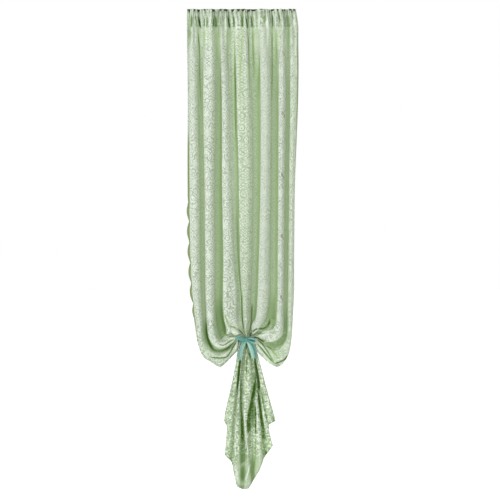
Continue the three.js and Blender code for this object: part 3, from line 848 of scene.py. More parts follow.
def patched(x, z, patches):
    """How far the patches lie back, and their painted shade, painted light where negative, with soft
    outlines.
    """
    back = np.zeros(x.shape)
    green = np.zeros(x.shape)
    for patch in patches:
        corners = [seen_at(*place) for place in patch["seen"]]
        outline = corners + corners[:1]
        gap, _ = distance_to_path(x, z, outline)
        inside = np.zeros(x.shape, bool)
        for (x0, z0), (x1, z1) in zip(outline, outline[1:]):
            if z0 != z1:
                inside ^= ((z0 > z) != (z1 > z)) & (x < x0 + (x1 - x0) * (z - z0) / (z1 - z0))
        softness = patch.get("soft", PATCH_SOFTNESS)
        cover = smooth_step(-softness, softness, np.where(inside, gap, -gap))
        top = max(corner[1] for corner in corners)
        bottom = min(corner[1] for corner in corners)
        cover *= smooth_step(top, mix(top, bottom, PATCH_FADE), z)
        back += patch["back"] * cover
        green += patch["green"] * cover
    return back, green


def painted_spot_shade(x, z):
    """Painted shade in single spots, or painted light where negative."""
    green = np.zeros(x.shape)
    for shaded_spot in PAINTED_SHADE_SPOTS:
        middle_x, middle_z = seen_at(*shaded_spot["seen"])
        wide, high = (PIXEL * half for half in shaded_spot["half"])
        distance = ((x - middle_x) / wide) ** 2 + ((z - middle_z) / high) ** 2
        green += shaded_spot["green"] * np.exp(-distance)
    return green


def places_by_line(columns):
    """Each fold line with how many legs every column of the cloth lies to its right."""
    for order, row in enumerate(HANGING):
        yield row["line"], np.arange(columns) / COLUMNS_PER_LEG - order


def painted_valley_shade_and_ridge_tint(in_tail, columns):
    """The painted shade in the valleys between the ridges, and the greener tint of some ridges."""
    green = np.zeros((len(in_tail), columns))
    for line, place in places_by_line(columns):
        away = np.abs(place)
        if line in SHADES:
            shade = SHADES[line]
            before = shade["before"] * (1 - smooth_step(*BEFORE_EDGE, away))
            after = shade["after"] * (1 - smooth_step(*AFTER_EDGE, away))
            off_floor = smooth_step(*FLOOR_EDGE, away)
            hanging = off_floor * np.where(place < 0, before, after) + (1 - off_floor) * shade["floor"]
            falling = (1 - smooth_step(*TAIL_VALLEY_EDGE, away)) * shade["tail"]
            green += mix(hanging[None, :], falling[None, :], in_tail)
        if line in RIDGE_GREEN:
            tint = RIDGE_GREEN[line] * (1 - smooth_step(*RIDGE_GREEN_EDGE, away))
            green += tint[None, :] * (1 - in_tail)
    return green


def ridge_edge_highlights(columns):
    """The painted highlight along the left edge of each ridge."""
    bright = np.zeros(columns)
    for line, place in places_by_line(columns):
        if line in RIDGE_PATTERN:
            bright += smooth_step(*RIDGE_RIM_START, place) * (1 - smooth_step(*RIDGE_RIM_END, place))
    return bright


def ridge_pattern(columns):
    """How strongly the pattern stands out across the cloth."""
    strength = np.zeros(columns)
    for line, place in places_by_line(columns):
        strength += RIDGE_PATTERN.get(line, VALLEY_PATTERN) * (1 - smooth_step(0, 1, np.abs(place)))
    return strength


def cloth_grid():
    """The hanging cloth as rows by columns by (x, y, z), and each column's share of its width."""
    steps_down = [i - 1 + (k + 1) / row["rows"] for i, row in enumerate(LEVELS) for k in range(row["rows"])]
    places = np.array([0.0, *steps_down])
    lines = [fold_line(order, places) for order in range(len(HANGING))]
    legs = len(lines) - 1
    pleated = (1 - smooth_step(PLEATED_TO, PLEATS_END, places))[:, None]
    t = np.arange(COLUMNS_PER_LEG)[None, :] / COLUMNS_PER_LEG
    blocks = []
    shares = []
    for leg in range(legs):
        line = HANGING[leg]["line"]
        last = leg == legs - 1
        steps = np.append(t, [[1.0]], axis=1) if last else t
        start, end = lines[leg][:, None, :], lines[leg + 1][:, None, :]
        gap = np.hypot(end[..., 0] - start[..., 0], end[..., 2] - start[..., 2])
        loose = np.minimum(1, gap / LOOSE_GAP)
        towards_valley = np.where(start[..., 1] < end[..., 1], 1, -1)
        roundness = TIP_ROUNDNESS + pleated * np.where(towards_valley > 0, SLOPE_EASE, EDGE_OVERHANG)
        across = steps + roundness * np.sin(2 * np.pi * steps) / (2 * np.pi)
        edge = SHADES[line]["edge"] if line in SHADES else -RIDGE_SHARE
        shift = np.where(towards_valley > 0, RIDGE_SHARE, mix(-RIDGE_SHARE, edge, pleated))
        across = across + loose * shift * np.sin(np.pi * steps) ** 2
        point = start + (end - start) * across[..., None]
        behind = smooth_step(loose * FLAT_TIP, 1 - loose * FLAT_TIP, steps)
        point[..., 1] = mix(start[..., 1], end[..., 1], behind)
        point[..., 1] -= extra_fold(line, steps, point[..., 2])
        blocks.append(point)
        shares.append((leg + steps[0]) / legs)
    return np.concatenate(blocks, axis=1), np.concatenate(shares)


def gathered(grid, share):
    """Draws the top of the cloth into the heading's puckers, which run out into the folds below."""
    grid = grid.copy()
    z = grid[..., 2]
    puckered = smooth_step(PUCKERS_END_Z, SEAM_Z, z)
    fine = FINE_GATHER_SHARE * smooth_step(FINE_GATHERS_END_Z, FOLDS_START_Z, z) * (1 - puckered)
    folded = mix(TOP_FOLD_SHARE, 1, 1 - smooth_step(FOLDS_FULL_Z, SEAM_Z, z))
    rounded = 1 - smooth_step(FOLDS_FULL_Z, FOLDS_START_Z, z)
    grid[..., 0] = mix(gathered_x(share, SEAM_RIGHT)[None, :], grid[..., 0], rounded)
    grid[..., 1] = pucker_depth(share)[None, :] * (puckered + fine) + grid[..., 1] * folded
    return grid


def scalloped(grid, share):
    """Waves the left side edge, the lace's scalloped border, which shows past the first ridge."""
    grid = grid.copy()
    z = grid[..., 2]
    near = smooth_step(EDGE_SHARE, 0, share)[None, :]
    top = smooth_step(SCALLOP_TOP, SCALLOP_TOP - SCALLOP_FADE_IN, z)
    bottom = smooth_step(SCALLOP_BOTTOM, SCALLOP_BOTTOM + SCALLOP_FADE_OUT, z)
    wave = 0.5 - np.abs(np.sin(np.pi * (z + SCALLOP_START) / SCALLOP_PITCH))
    grid[..., 0] += SCALLOP_DEPTH * near * (top * bottom) * wave
    return grid


def surface_normals(grid):
    down = np.gradient(grid, axis=0)
    across = np.gradient(grid, axis=1)
    normal = np.cross(across, down)
    return normal / np.maximum(np.linalg.norm(normal, axis=2, keepdims=True), 1e-9)


def lengths(grid, axis):
    """Length walked along the grid up to each point."""
    steps = np.linalg.norm(np.diff(grid, axis=axis), axis=2)
    pad = [(1, 0), (0, 0)] if axis == 0 else [(0, 0), (1, 0)]
    return np.cumsum(np.pad(steps, pad), axis=axis)


def sheet_object(name, grid, u, v, material, shades=(0, 0, 0)):
    """A sheet of cloth from a grid in millimetres, with its flat place in metres as the UV map. shades are
    three numbers for its material at each point."""
    rows, columns = grid.shape[:2]
    corner = (np.arange(rows - 1)[:, None] * columns + np.arange(columns - 1)[None, :]).ravel()
    faces = np.stack([corner, corner + columns, corner + columns + 1, corner + 1], axis=1)
    mesh = bpy.data.meshes.new(name)
    mesh.from_pydata((grid.reshape(-1, 3) * MM).tolist(), [], faces.tolist())
    flat = np.stack([np.broadcast_to(u, (rows, columns)), np.broadcast_to(v, (rows, columns))], axis=2)
    layer = mesh.uv_layers.new(name="flat")
    layer.data.foreach_set("uv", (flat.reshape(-1, 2)[faces.ravel()] * MM).astype(np.float32).ravel())
    shade = mesh.attributes.new("shade", "FLOAT_COLOR", "POINT")
    parts = [np.broadcast_to(part, (rows, columns)).ravel() for part in (*shades, 1)]
    shade.data.foreach_set("color", np.stack(parts, axis=1).astype(np.float32).ravel())
    mesh.shade_smooth()
    piece = bpy.data.objects.new(name, mesh)
    bpy.context.scene.collection.objects.link(piece)
    mesh.materials.append(material)
    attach(piece, "root")
    return piece


def feed(tree, slot, value):
    """Joins an output to an input, or sets the input to a number, a vector or a colour."""
    if isinstance(value, Signal):
        value = value.socket
    if hasattr(value, "is_output"):
        tree.links.new(value, slot)
    elif slot.type == "RGBA":
        slot.default_value = (*value, 1)
    else:
        slot.default_value = value


def add_node(tree, kind, inputs, **settings):
    """A node of a material, with its settings made and its inputs fed."""
    node = tree.nodes.new("ShaderNode" + kind)
    for name, value in settings.items():
        setattr(node, name, value)
    for slot, value in inputs.items():
        feed(tree, node.inputs[slot], value)
    return node


class Signal:
    """A number running through a material's nodes, so that its sums read as sums."""

    def __init__(self, tree, socket):
        self.tree = tree
        self.socket = socket

    def by(self, operation, *others):
        inputs = dict(enumerate((self, *others)))
        return Signal(self.tree, add_node(self.tree, "Math", inputs, operation=operation).outputs[0])

    def __add__(self, other):
        return self.by("ADD", other)

    def __sub__(self, other):
        return self.by("SUBTRACT", other)

    def __mul__(self, other):
        return self.by("MULTIPLY", other)

    def __truediv__(self, other):
        return self.by("DIVIDE", other)

    def fraction(self):
        return self.by("FRACT")

    def floor(self):
        return self.by("FLOOR")

    def size(self):
        return self.by("ABSOLUTE")

    def sine(self):
        return self.by("SINE")

    def cosine(self):
        return self.by("COSINE")

    def larger(self, other):
        return self.by("MAXIMUM", other)

    def smaller(self, other):
        return self.by("MINIMUM", other)

    def held(self):
        """Held between 0 and 1."""
        return self.larger(0.0).smaller(1.0)

    def opposite(self):
        """1 less this."""
        return self * -1.0 + 1.0

    def within(self, edge, softness):
        """1 where this is under edge, falling to 0 over the softness."""
        limits = {"From Min": edge - softness, "From Max": edge + softness, "To Min": 1, "To Max": 0}
        node = add_node(self.tree, "MapRange", {"Value": self, **limits}, interpolation_type="SMOOTHSTEP")
        return Signal(self.tree, node.outputs["Result"])


def length_of(a, b):
    return (a * a + b * b).by("SQRT")


def new_material(name):
    material = bpy.data.materials.new(name)
    material.use_nodes = True
    material.node_tree.nodes.clear()
    return material, material.node_tree


def flat_place(tree):
    """The place on the flat cloth, u across and v down, in metres."""
    place = add_node(tree, "UVMap", {}, uv_map="flat").outputs[0]
    split = add_node(tree, "SeparateXYZ", {0: place})
    return place, Signal(tree, split.outputs[0]), Signal(tree, split.outputs[1])


def vertex_shades(tree):
    """The three numbers that the cloth's vertices carry."""
    attribute = add_node(tree, "Attribute", {}, attribute_name="shade")
    parts = add_node(tree, "SeparateColor", {0: attribute.outputs["Color"]})
    return [Signal(tree, parts.outputs[k]) for k in range(3)]


def rosette(x, y, centre_x, centre_y, radius, petals):
    """A flower with a ring round its centre, seen flat."""
    dx = x - centre_x
    dy = y - centre_y
    away = length_of(dx, dy)
    angle = dy.by("ARCTAN2", dx)
    rim = (angle * petals).cosine() * (PETAL_WAVE * radius) + PETAL_REACH * radius
    petal = (away - rim).within(0, THREAD_SOFTNESS)
    outline = (away - rim * INNER_OUTLINE).size().within(*OUTLINE)
    groove = ((angle * (petals / 2)).sine().size() * away).within(*GROOVE)
    heart = away.within(FLOWER_HEART * radius, HEART_SOFTNESS)
    return (petal - outline * OUTLINE_BARENESS - groove * GROOVE_BARENESS).larger(heart)


def leaf(x, y, centre_x, centre_y, length, breadth, turn):
    """A pointed leaf with a bare midrib."""
    along = (x - centre_x) * math.cos(turn) + (y - centre_y) * math.sin(turn)
    beside = (y - centre_y) * math.cos(turn) - (x - centre_x) * math.sin(turn)
    shape = (along / length).by("POWER", 2.0) + (beside / breadth).size()
    body = shape.within(1, LEAF_SOFTNESS)
    midrib = beside.size().within(*MIDRIB)
    return body - body * midrib * MIDRIB_BARENESS


def curl(x, y, centre_x, centre_y, inner, outer, hand):
    """One turn of a spiral tendril."""
    dx = (x - centre_x) * hand
    dy = y - centre_y
    share = (dy.by("ARCTAN2", dx) + math.pi) / (2 * math.pi)
    return (length_of(dx, dy) - (share * (outer - inner) + inner)).size().within(*TENDRIL_LINE)


def lace_motif(u, v):
    """The vine with its rosettes, leaves and tendrils, from 0 in the open ground to 1 in a solid part."""
    column = u / LACE_WIDTH
    shift = column.floor().by("PINGPONG", 1.0) * 0.5
    x = (column.fraction() - 0.5) * LACE_WIDTH
    y = ((v / LACE_HEIGHT + shift).fraction() - 0.5) * LACE_HEIGHT
    quarter = LACE_HEIGHT / 4
    vine_x = (y * (2 * math.pi / LACE_HEIGHT)).sine() * VINE_SWING
    motif = (x - vine_x).size().within(VINE_HALF_WIDTH, THREAD_SOFTNESS)
    for row in ROSETTES:
        middle = (row["x"], row["quarters"] * quarter)
        motif = motif.larger(rosette(x, y, *middle, row["radius"], row["petals"]))
    leaf_size = (LEAF["length"], LEAF["breadth"])
    curl_size = (TENDRIL["inner"], TENDRIL["outer"])
    for side, centre in ((1, 0.0), (-1, LACE_HEIGHT / 2), (-1, -LACE_HEIGHT / 2)):
        for hand in (1, -1):
            turn = side * LEAF["turn"] + (math.pi if hand < 0 else 0)
            middle = (hand * side * LEAF["x"], centre + hand * LEAF["y"])
            motif = motif.larger(leaf(x, y, *middle, *leaf_size, turn))
            middle = (hand * side * TENDRIL["x"], centre - hand * TENDRIL["y"])
            motif = motif.larger(curl(x, y, *middle, *curl_size, hand * side))
    return motif


def colour_mix(tree, share, first, second):
    inputs = {"Factor": share, "A": first, "B": second}
    return add_node(tree, "Mix", inputs, data_type="RGBA").outputs["Result"]


def scrollwork(tree, place, pitch, ring):
    """Curling threads: rings round scattered centres, drawn out of shape."""
    inputs = {"Vector": place, "Scale": WARP_SCALE / pitch, "Detail": 1}
    warp = add_node(tree, "TexNoise", inputs, noise_dimensions="2D").outputs["Color"]
    reach = (WARP_REACH * pitch, WARP_REACH * pitch, 0)
    bent = add_node(tree, "VectorMath", {0: warp, 1: reach, 2: place}, operation="MULTIPLY_ADD").outputs[0]
    cells = add_node(tree, "TexVoronoi", {"Vector": bent, "Scale": 1 / pitch}, voronoi_dimensions="2D")
    rings = Signal(tree, cells.outputs["Distance"]) * (2 * math.pi * pitch / ring)
    return rings.cosine().within(*CURL_LINE)


def cloudy(tree, place, scale, softness):
    """Soft patches, about half 0 and half 1."""
    inputs = {"Vector": place, "Scale": scale, "Detail": 1}
    noise = add_node(tree, "TexNoise", inputs, noise_dimensions="2D")
    return Signal(tree, noise.outputs[0]).within(0.5, softness)


def scattered(tree):
    """A chance from 0 to 1 for each small fleck of the cloth."""
    place = add_node(tree, "TexCoord", {}).outputs["Object"]
    cells = add_node(tree, "TexVoronoi", {"Vector": place, "Scale": FLECKS_PER_METRE})
    return Signal(tree, add_node(tree, "SeparateColor", {0: cells.outputs["Color"]}).outputs[0])


def lace_material(name, doubled):
    """Sheer lace: curling threads, hatching and a vine of rosettes and leaves, with painted shade in the
    folds and painted light on some ridges and flat folds.
    """
    material, tree = new_material(name)
    place, u, v = flat_place(tree)
    strength, green, edge_shade_and_hem_line = vertex_shades(tree)
    strength = strength * PATTERN_SCALE
    green = green * SHADE_AND_GREEN_SCALE

    curls = scrollwork(tree, place, CURL_PITCH, CURL_RING)
    turn = 2 * math.pi / HATCH_PITCH
    bend = cloudy(tree, place, *BENT_PATCHES) * HATCH_BEND
    rising = ((u * HATCH_SLOPE + v) * turn + bend).sine()
    falling = ((u * HATCH_SLOPE - v) * turn - bend).sine()
    hatching = rising.larger(falling).within(*HATCH_LINE)
    hatched = cloudy(tree, place, *HATCHED_PATCHES)
    plain = cloudy(tree, place, *PLAIN_PATCHES)
    woven = (curls * hatched.opposite() + hatching * hatched - 0.5) * (plain * -PLAINNESS + 1.0) + 0.5
    threads = woven.larger(lace_motif(u, v) * MOTIF_STRENGTH) + (hatched - 0.5) * HATCHED_LIFT
    flecks = scattered(tree)
    dark_fleck = flecks.within(DARK_FLECK_SHARE, FLECK_SOFTNESS)
    pale_fleck = flecks.within(PALE_FLECK_FROM, FLECK_SOFTNESS).opposite()
    flecked = (strength - FLECKED_FROM).held()
    threads = threads * flecked.opposite() + flecks * flecked

    # Painted shade from the vertices' second number: the shaded colours, then deep painted shade, then
    # painted light where the number is negative
    shade_share = green.held()
    softened = shade_share * (flecked * FLECK_SHARPNESS - FOLD_SOFTENING) + 1.0
    shown = ((threads - 0.5) * strength * softened + 0.5).held()
    lit = colour_mix(tree, shown, GROUND_COLOUR, THREAD_COLOUR)
    folded = colour_mix(tree, shown, SHADED_GROUND, SHADED_THREAD)
    colour = colour_mix(tree, shade_share, lit, folded)
    colour = colour_mix(tree, flecked * dark_fleck * DARK_FLECK_TINT, colour, FLECK_GREEN)
    colour = colour_mix(tree, flecked * pale_fleck * PALE_FLECK_TINT, colour, PALE_AND_PAINTED_LIGHT)
    deep_shade = ((green - DEEP_FROM) * DEEPENING).held() * (flecked * pale_fleck * -FLECK_RELIEF + 1.0)
    colour = colour_mix(tree, deep_shade, colour, DEEP_PAINTED_SHADE)
    colour = colour_mix(tree, (green * -1.0).held(), colour, PALE_AND_PAINTED_LIGHT)
    # Painted shade on the scalloped edge, and the brown hem line
    colour = colour_mix(tree, edge_shade_and_hem_line, colour, OLIVE_SHADE_AND_HEM)
    hearts = blossom_hearts(u, v) * (curls * HEART_CURL_TINT + HEART_TINT)
    colour = colour_mix(tree, hearts, colour, BROWN)

    net = ((u * (2 * math.pi / NET_PITCH)).sine() * (v * (2 * math.pi / NET_PITCH)).sine()).size()
    bump = add_node(tree, "Bump", {"Height": shown + net * NET_HEIGHT, "Strength": 0.5, "Distance": 0.0006})
    thinnest = DOUBLED_COVER if doubled else SINGLE_COVER
    cover = (shown * THREAD_COVER + shade_share * FOLD_COVER + deep_shade * DEEP_COVER + thinnest).smaller(1.0)
    inputs = {"Base Color": colour, "Roughness": 0.85, "Specular IOR Level": 0.2, "Sheen Weight": 0.1}
    cloth = add_node(tree, "BsdfPrincipled", {**inputs, "Normal": bump.outputs[0], "Alpha": cover})
    # The light passing through is darker under the painted shade
    glow_colour = colour_mix(tree, (green * GLOW_DEEPENING).held(), GLOW, DEEP_GLOW)
    glow = add_node(tree, "BsdfTranslucent", {"Color": glow_colour})
    both = add_node(tree, "MixShader", {0: GLOW_SHARE, 1: cloth.outputs[0], 2: glow.outputs[0]})
    add_node(tree, "OutputMaterial", {"Surface": both.outputs[0]})
    return material


def blossom_hearts(u, v):
    """Small brown hearts down one vine, and a row of eyelet dots along the side border."""
    y = ((v / LACE_HEIGHT + HEART_SHIFT).fraction() - 0.5) * LACE_HEIGHT
    heart = length_of(u - HEART_U, y).within(*HEART_EDGE)
    aside, below = SECOND_HEART_FROM_FIRST
    second = length_of(u - HEART_U - aside, y - below).within(*SECOND_HEART_EDGE)
    step = SCALLOP_PITCH * MM
    dot = length_of(u - DOT_U, ((v / step).fraction() - 0.5) * step).within(*DOT_EDGE)
    return heart.larger(second).larger(dot)


def ribbon_material():
    """Sheer teal ribbon with fine ribs across and denser selvedges, with painted light and shade along it."""
    material, tree = new_material("ribbon")
    place, u, v = flat_place(tree)
    pale, sheer, _ = vertex_shades(tree)
    ribs = ((v * (2 * math.pi / (RIB_PITCH * MM))).sine() + 1.0) * 0.5
    selvedge = (u - 0.5 * RIBBON_WIDTH * MM).size().by("GREATER_THAN", SELVEDGE_FROM * MM)
    noise = Signal(tree, add_node(tree, "TexNoise", {"Vector": place, "Scale": CLOUDS_PER_METRE}).outputs[0])
    ripple = (u * (2 * math.pi / (RIPPLE_PITCH * MM)) + noise * RIPPLE_WANDER).sine() * RIPPLE
    # Painted light and shade, with stripes, clouds and ribs
    share = (pale + ripple + (noise - 0.5) * CLOUDINESS + ribs * RIB_TINT).held()
    colour = colour_mix(tree, share, TEAL, PAINTED_LIT_TEAL)
    bump = add_node(tree, "Bump", {"Height": ribs + selvedge, "Strength": 0.3, "Distance": 0.0003})
    cover = (selvedge * SELVEDGE_COVER + RIBBON_COVER - sheer).smaller(1.0)
    inputs = {"Base Color": colour, "Roughness": 0.45, "Sheen Weight": 0.1}
    satin = add_node(tree, "BsdfPrincipled", {**inputs, "Normal": bump.outputs[0], "Alpha": cover})
    add_node(tree, "OutputMaterial", {"Surface": satin.outputs[0]})
    return material


def floor_material():
    material, tree = new_material("pale_floor")
    glow = {"Emission Color": WHITE, "Emission Strength": FLOOR_GLOW}
    plaster = add_node(tree, "BsdfPrincipled", {"Base Color": WHITE, "Roughness": 0.9, **glow})
    add_node(tree, "OutputMaterial", {"Surface": plaster.outputs[0]})
    return material


def pucker_shade(share):
    """The painted shade in the valleys of the heading's puckers."""
    return PUCKER_SHADE * np.clip(pucker_depth(share) / PUCKER_DEPTH, 0, 1)[None, :]


def panel_shades(x, z, share, green):
    """The three numbers that the panel's material reads. Its last argument is the painted shade of its
    creases and patches, painted light where negative.
    """
    columns = len(share)
    in_tail = smooth_step(NECK_Z, NECK_Z - TAIL_FADE, z[:, [columns // 2]])
    # Painted shade in pucker valleys, valleys and spots, painted highlights on ridge edges, and a greener
    # tail
    full = mix(TOP_FOLD_SHADE, 1, 1 - smooth_step(SHADE_FULL_Z, SHADE_START_Z, z))
    green = green + pucker_shade(share) * smooth_step(PUCKERS_END_Z, SEAM_Z, z)
    green += painted_valley_shade_and_ridge_tint(in_tail, columns) * full + painted_spot_shade(x, z)
    green += TAIL_GREEN * in_tail - RIDGE_HIGHLIGHT * (1 - in_tail) * ridge_edge_highlights(columns)[None, :]

    in_pouch = smooth_step(POUCH_START_Z, POUCH_START_Z - POUCH_FADE, z)
    above = mix(ridge_pattern(columns)[None, :], POUCH_PATTERN, in_pouch)
    inside_hem = smooth_step(*HEM_INSIDE_Z, z) * smooth_step(*HEM_INSIDE_X, x)
    pattern = mix(above, TAIL_PATTERN, in_tail) * (1 - HEM_INSIDE_PLAINNESS * inside_hem * in_tail)

    # Painted shade on the scalloped edge behind the first ridge, and the brown line along the bottom hem
    by_edge = smooth_step(EDGE_SHARE, EDGE_SHADE_SHARE, share)[None, :]
    edge_shade_and_hem_line = by_edge * smooth_step(EDGE_SHADE_TOP, EDGE_SHADE_TOP - EDGE_SHADE_FADE, z)
    edge_shade_and_hem_line *= smooth_step(SCALLOP_BOTTOM - SCALLOP_FADE_OUT, SCALLOP_BOTTOM + SCALLOP_FADE_OUT, z)
    edge_shade_and_hem_line[-1:] = smooth_step(*HEM_BROWN_LOW_Z, z[-1:]) * smooth_step(*HEM_BROWN_HIGH_Z, z[-1:])
    return pattern / PATTERN_SCALE, green / SHADE_AND_GREEN_SCALE, edge_shade_and_hem_line


def make_hems(grid, u, v, share, shades, material):
    """The hems turned back behind both sides and the bottom edge of the panel."""
    behind = grid - surface_normals(grid) * HEM_OFFSET
    columns = max(2, int(np.searchsorted(share * CLOTH_WIDTH, HEM_WIDTH)) + 1)
    middle = v[:, len(share) // 2]
    bottom = int(np.argmax(middle > middle[-1] - HEM_WIDTH)) - 1
    strips = {
        "left_hem": (slice(None), slice(0, columns)),
        "right_hem": (slice(None), slice(-columns, None)),
        "bottom_hem": (slice(bottom, None), slice(None)),
    }
    hems = []
    for name, strip in strips.items():
        tints = [part[strip] for part in shades]
        hem = sheet_object(name, behind[strip], u[strip], v[strip], material, tints)
        hems.append(hem)
    return hems


def make_panel(material, hem_material):
    """The hanging cloth with its hems. Gives each column's share of the width and its depth at the seam."""
    grid, share = cloth_grid()
    folds = grid[0, :, 1]
    grid = scalloped(gathered(grid, share), share)
    x, z = grid[..., 0], grid[..., 2]
    push, crease_painted_shade = creased(x, z, HEADING_CREASES + POUCH_CREASES + TAIL_CREASES)
    back, patch_painted_shade = patched(x, z, POUCH_PATCHES + TAIL_PATCHES)
    shades = panel_shades(x, z, share, crease_painted_shade + patch_painted_shade)
    grid[..., 1] -= push - back
    v = lengths(grid, 0)
    walked = lengths(grid, 1)
    middle = [len(share) // 2]
    spread = walked - walked[:, middle] + CLOTH_WIDTH / 2
    u = np.where(z[:, middle] < NECK_Z, spread, share[None, :] * CLOTH_WIDTH)
    panel = sheet_object("lace_panel", grid, u, v, material, shades)
    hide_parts("panel")
    hems = make_hems(grid, u, v, share, shades, hem_material)
    return share, folds


def frill_hollows(x):
    """How far the frill's top edge dips at each place across."""
    dip = np.zeros(x.shape)
    for hollow in FRILL_HOLLOWS:
        middle = (hollow["seen_x"] - ORIGIN_PIXEL_X) * PIXEL
        half = HOLLOW_SLIMMING * hollow["half"] * PIXEL
        dip += hollow["depth"] * np.exp(-(((x - middle) / half) ** 4))
    return dip


def rising_to_frill(height, start):
    """0 up to so many frill heights under the edge, and 1 from the frill's own stitch line upwards."""
    return smooth_step(-start * FRILL_HEIGHT, -FRILL_HEIGHT, height)[:, None]


def make_heading(material, panel_share, panel_folds):
    """The frill and rod pocket: one strip folded at the top, gathered into puckers and stitched twice."""
    middle = (SEAM_Z - FRILL_HEIGHT) / 2
    half_height = (SEAM_Z + FRILL_HEIGHT) / 2
    share = np.linspace(0, 1, HEADING_COLUMNS + 1)
    drop = np.linspace(SEAM_Z, 0, HEADING_ROWS + 1)
    bulge = np.clip(1 - ((drop - middle) / half_height) ** 2, 0, 1) ** POCKET_ROUNDNESS
    half = FRILL_HALF_DEPTH + (POCKET_HALF_DEPTH - FRILL_HALF_DEPTH) * bulge
    lip = len(drop)
    height = np.concatenate([drop, [0], drop[::-1]])
    half = np.concatenate([-half, [0], half[::-1]])
    front = (np.arange(len(height)) <= lip)[:, None]
    inside = (np.arange(len(height)) >= lip)[:, None]

    x = np.stack([gathered_x(share, right) for right in mix(FRILL_RIGHT, SEAM_RIGHT, height / SEAM_Z)])
    dip = frill_hollows(x)
    z = height[:, None] - front * dip * smooth_step(-FRILL_HEIGHT, 0, height)[:, None]
    push, green = creased(x, z, HEADING_CREASES)
    fold = TOP_FOLD_SHARE * np.interp(share, panel_share, panel_folds)
    wander = CRIMP_WANDER * np.sin(2 * np.pi * CRIMP_WAVES * share)
    crimp = np.sin(2 * np.pi * CRIMP_COUNT * share + wander)
    crimped = smooth_step(CRIMP_END_Z, -FRILL_HEIGHT, height)[:, None] * crimp[None, :]
    y = (pucker_depth(share) + fold)[None, :] + half[:, None] - push * np.where(front, 1, BACK_CREASE_SHARE)
    y += CRIMP_DEPTH * crimped - HOLLOW_SWAY * front * dip * rising_to_frill(height, SWAY_START)
    grid = np.stack([x, y, z], axis=2)

    stitching = np.minimum(np.abs(height + FRILL_HEIGHT), np.abs(height - SEAM_Z))
    frilled = rising_to_frill(height, FRONT_TINT_START)
    # Painted shade in puckers, crimps and hollows and painted light on the frill's front; doubled cloth and
    # stitch lines are greener
    green += DOUBLED_GREEN + STITCH_GREEN * smooth_step(STITCH_HALF_HEIGHT, 0, stitching)[:, None]
    green += pucker_shade(share) + CRIMP_SHADE * crimped
    green += (FRILL_PAINTED_LIGHT + LIP_SHADE * dip) * front * frilled
    green += HOLLOW_SHADE * dip * inside * rising_to_frill(height, HOLLOW_TINT_START)
    shades = (HEADING_PATTERN / PATTERN_SCALE, green / SHADE_AND_GREEN_SCALE, 0)
    u = share[None, :] * CLOTH_WIDTH
    heading = sheet_object("lace_heading", grid, u, lengths(grid, 0), material, shades)
    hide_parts("heading")


def make_ribbon_piece(row, material):
    """A loop or an end of the bow, along its path from the knot."""
    path = smooth_curve(np.array(row["path"], float), np.linspace(0, len(row["path"]) - 1, BOW_ROWS))
    along = lengths(path[:, None, :], 0)[:, 0]
    share = along / along[-1]
    across = np.array(row["across"]) / np.linalg.norm(row["across"])
    width = mix(*row["widths"], np.minimum(1, share / WIDENED_AT))
    side = np.linspace(-0.5, 0.5, BOW_COLUMNS)
    grid = path[:, None, :] + (width[:, None] * side[None, :])[..., None] * across
    grid[..., 1] -= row["cup"] * share[:, None] * (1 - (2 * np.abs(side)) ** CUP_FLATNESS)[None, :]
    # Painted light and shade across the ribbon, with darker selvedges
    pale = mix(*row["pale"], smooth_step(*PAINTED_LIGHT_CHANGES, side))[None, :]
    pale = pale - SELVEDGE_TINT * smooth_step(SELVEDGE_SIDE, 0.5, np.abs(side))[None, :] * (pale > 0.5)
    shaded = mix(KNOT_SHADOW, 1, smooth_step(0, SHADOW_ENDS, share))[:, None]
    shades = (pale * shaded, row["sheer"] * share[:, None], 0)
    u = (side[None, :] + 0.5) * RIBBON_WIDTH
    piece = sheet_object(row["piece"], grid, u, along[:, None], material, shades)


def make_knot(material):
    """The knot: a small pleated pad of ribbon."""
    turn = np.linspace(0, 2 * np.pi, KNOT_COLUMNS)[None, :]
    rise = np.linspace(-0.5 * np.pi, 0.5 * np.pi, KNOT_ROWS)[:, None]
    pleat = 1 + KNOT_PLEAT_DEPTH * np.cos(KNOT_PLEATS * turn) * np.cos(rise)
    directions = (np.cos(rise) * np.cos(turn) * pleat, np.cos(rise) * np.sin(turn) * pleat, np.sin(rise))
    grid = np.stack([
        np.broadcast_to(middle + half * direction, pleat.shape)
        for middle, half, direction in zip(KNOT_MIDDLE, KNOT_HALF, directions)
    ], axis=2)
    lit = KNOT_LIT * smooth_step(*KNOT_LIT_SIDE, np.cos(turn))
    u = turn * KNOT_FLAT_RADIUS
    v = (rise + 2) * KNOT_HALF[2]
    knot = sheet_object("ribbon_knot", grid, u, v, material, (lit, 0, 0))


def make_band(material):
    """The ribbon wrapped round the neck, gathered a little."""
    turn = np.linspace(0, 2 * np.pi, BAND_COLUMNS)[None, :]
    height = np.linspace(0.5, -0.5, BAND_ROWS)[:, None]
    gather = BAND_GATHER_DEPTH * np.cos(BAND_GATHERS * turn)
    x = NECK_X + (BAND_HALF_WIDTH + BAND_SLACK + gather) * np.cos(turn)
    y = (BAND_HALF_DEPTH + BAND_BACK_SLACK + gather) * np.sin(turn)
    z = NECK_Z + WRAP_HEIGHT * height
    grid = np.stack(np.broadcast_arrays(x, y, z), axis=2)
    u = (height + 0.5) * RIBBON_WIDTH
    band = sheet_object("ribbon_band", grid, u, turn * BAND_FLAT_RADIUS, material)
    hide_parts("tie")


def make_light(name, place, target, size, power):
    """A square lamp that faces its target, with sizes and places in metres."""
    light = bpy.data.lights.new(name, "AREA")
    light.shape = "RECTANGLE"
    light.size = size
    light.size_y = size
    light.energy = power
    lamp = bpy.data.objects.new(name, light)
    lamp.location = place
    lamp.rotation_euler = (Vector(target) - Vector(place)).to_track_quat("-Z", "Y").to_euler()
    bpy.context.scene.collection.objects.link(lamp)


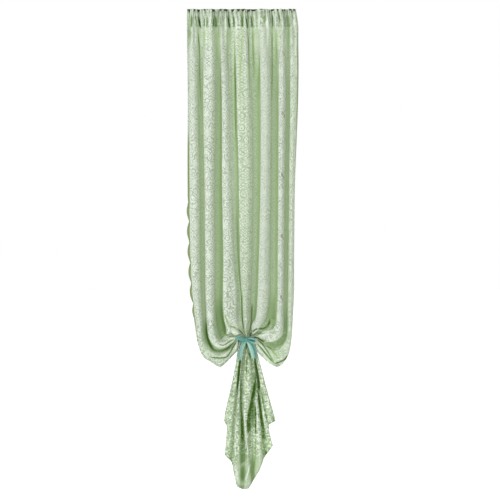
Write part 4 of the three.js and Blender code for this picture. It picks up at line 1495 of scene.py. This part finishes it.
def make_floor():
    """A pale floor below the hem."""
    mesh = bpy.data.meshes.new("floor")
    sides = [(-1, -1), (1, -1), (1, 1), (-1, 1)]
    corners = [(FLOOR_HALF * MM * x, FLOOR_HALF * MM * y, FLOOR_Z * MM) for x, y in sides]
    mesh.from_pydata(corners, [], [(0, 1, 2, 3)])
    mesh.materials.append(floor_material())
    floor = bpy.data.objects.new("floor", mesh)
    bpy.context.scene.collection.objects.link(floor)


def make_stage():
    """Floor, lamps and a white world that is darker on the viewer's side."""
    make_floor()
    world = bpy.data.worlds.new("studio")
    world.use_nodes = True
    tree = world.node_tree
    background = tree.nodes["Background"]
    split = add_node(tree, "SeparateXYZ", {0: add_node(tree, "TexCoord", {}).outputs["Generated"]})
    dark, light = WALL_CHANGES
    limits = {"From Min": dark, "From Max": light, "To Min": ROOM_LIGHT, "To Max": 1.0}
    wall = add_node(tree, "MapRange", {"Value": split.outputs[1], **limits})
    feed(tree, background.inputs["Color"], WHITE)
    feed(tree, background.inputs["Strength"], wall.outputs[0])
    bpy.context.scene.world = world
    for lamp in LAMPS:
        make_light(lamp["name"], lamp["place"], lamp["target"], lamp["size"], lamp["power"])


def make_camera():
    """A camera straight in front, framed as the photograph."""
    camera = bpy.data.cameras.new("camera")
    camera.sensor_width = SENSOR
    camera.lens = SENSOR * CAMERA_DISTANCE / VIEW_WIDTH
    camera.clip_end = FAR_CLIP * MM
    eye = bpy.data.objects.new("camera", camera)
    eye.location = (VIEW_CENTRE_X * MM, -CAMERA_DISTANCE * MM, VIEW_CENTRE_Z * MM)
    eye.rotation_euler = (math.pi / 2, 0, 0)
    bpy.context.scene.collection.objects.link(eye)
    bpy.context.scene.camera = eye


make_camera()
make_stage()
lace = lace_material("lace", doubled=False)
lace_doubled = lace_material("lace_doubled", doubled=True)
ribbon = ribbon_material()
panel_share, panel_folds = make_panel(lace, lace_doubled)
make_heading(lace_doubled, panel_share, panel_folds)
make_band(ribbon)
make_knot(ribbon)
for row in BOW:
    make_ribbon_piece(row, ribbon)

bpy.context.scene.view_settings.view_transform = "Standard"
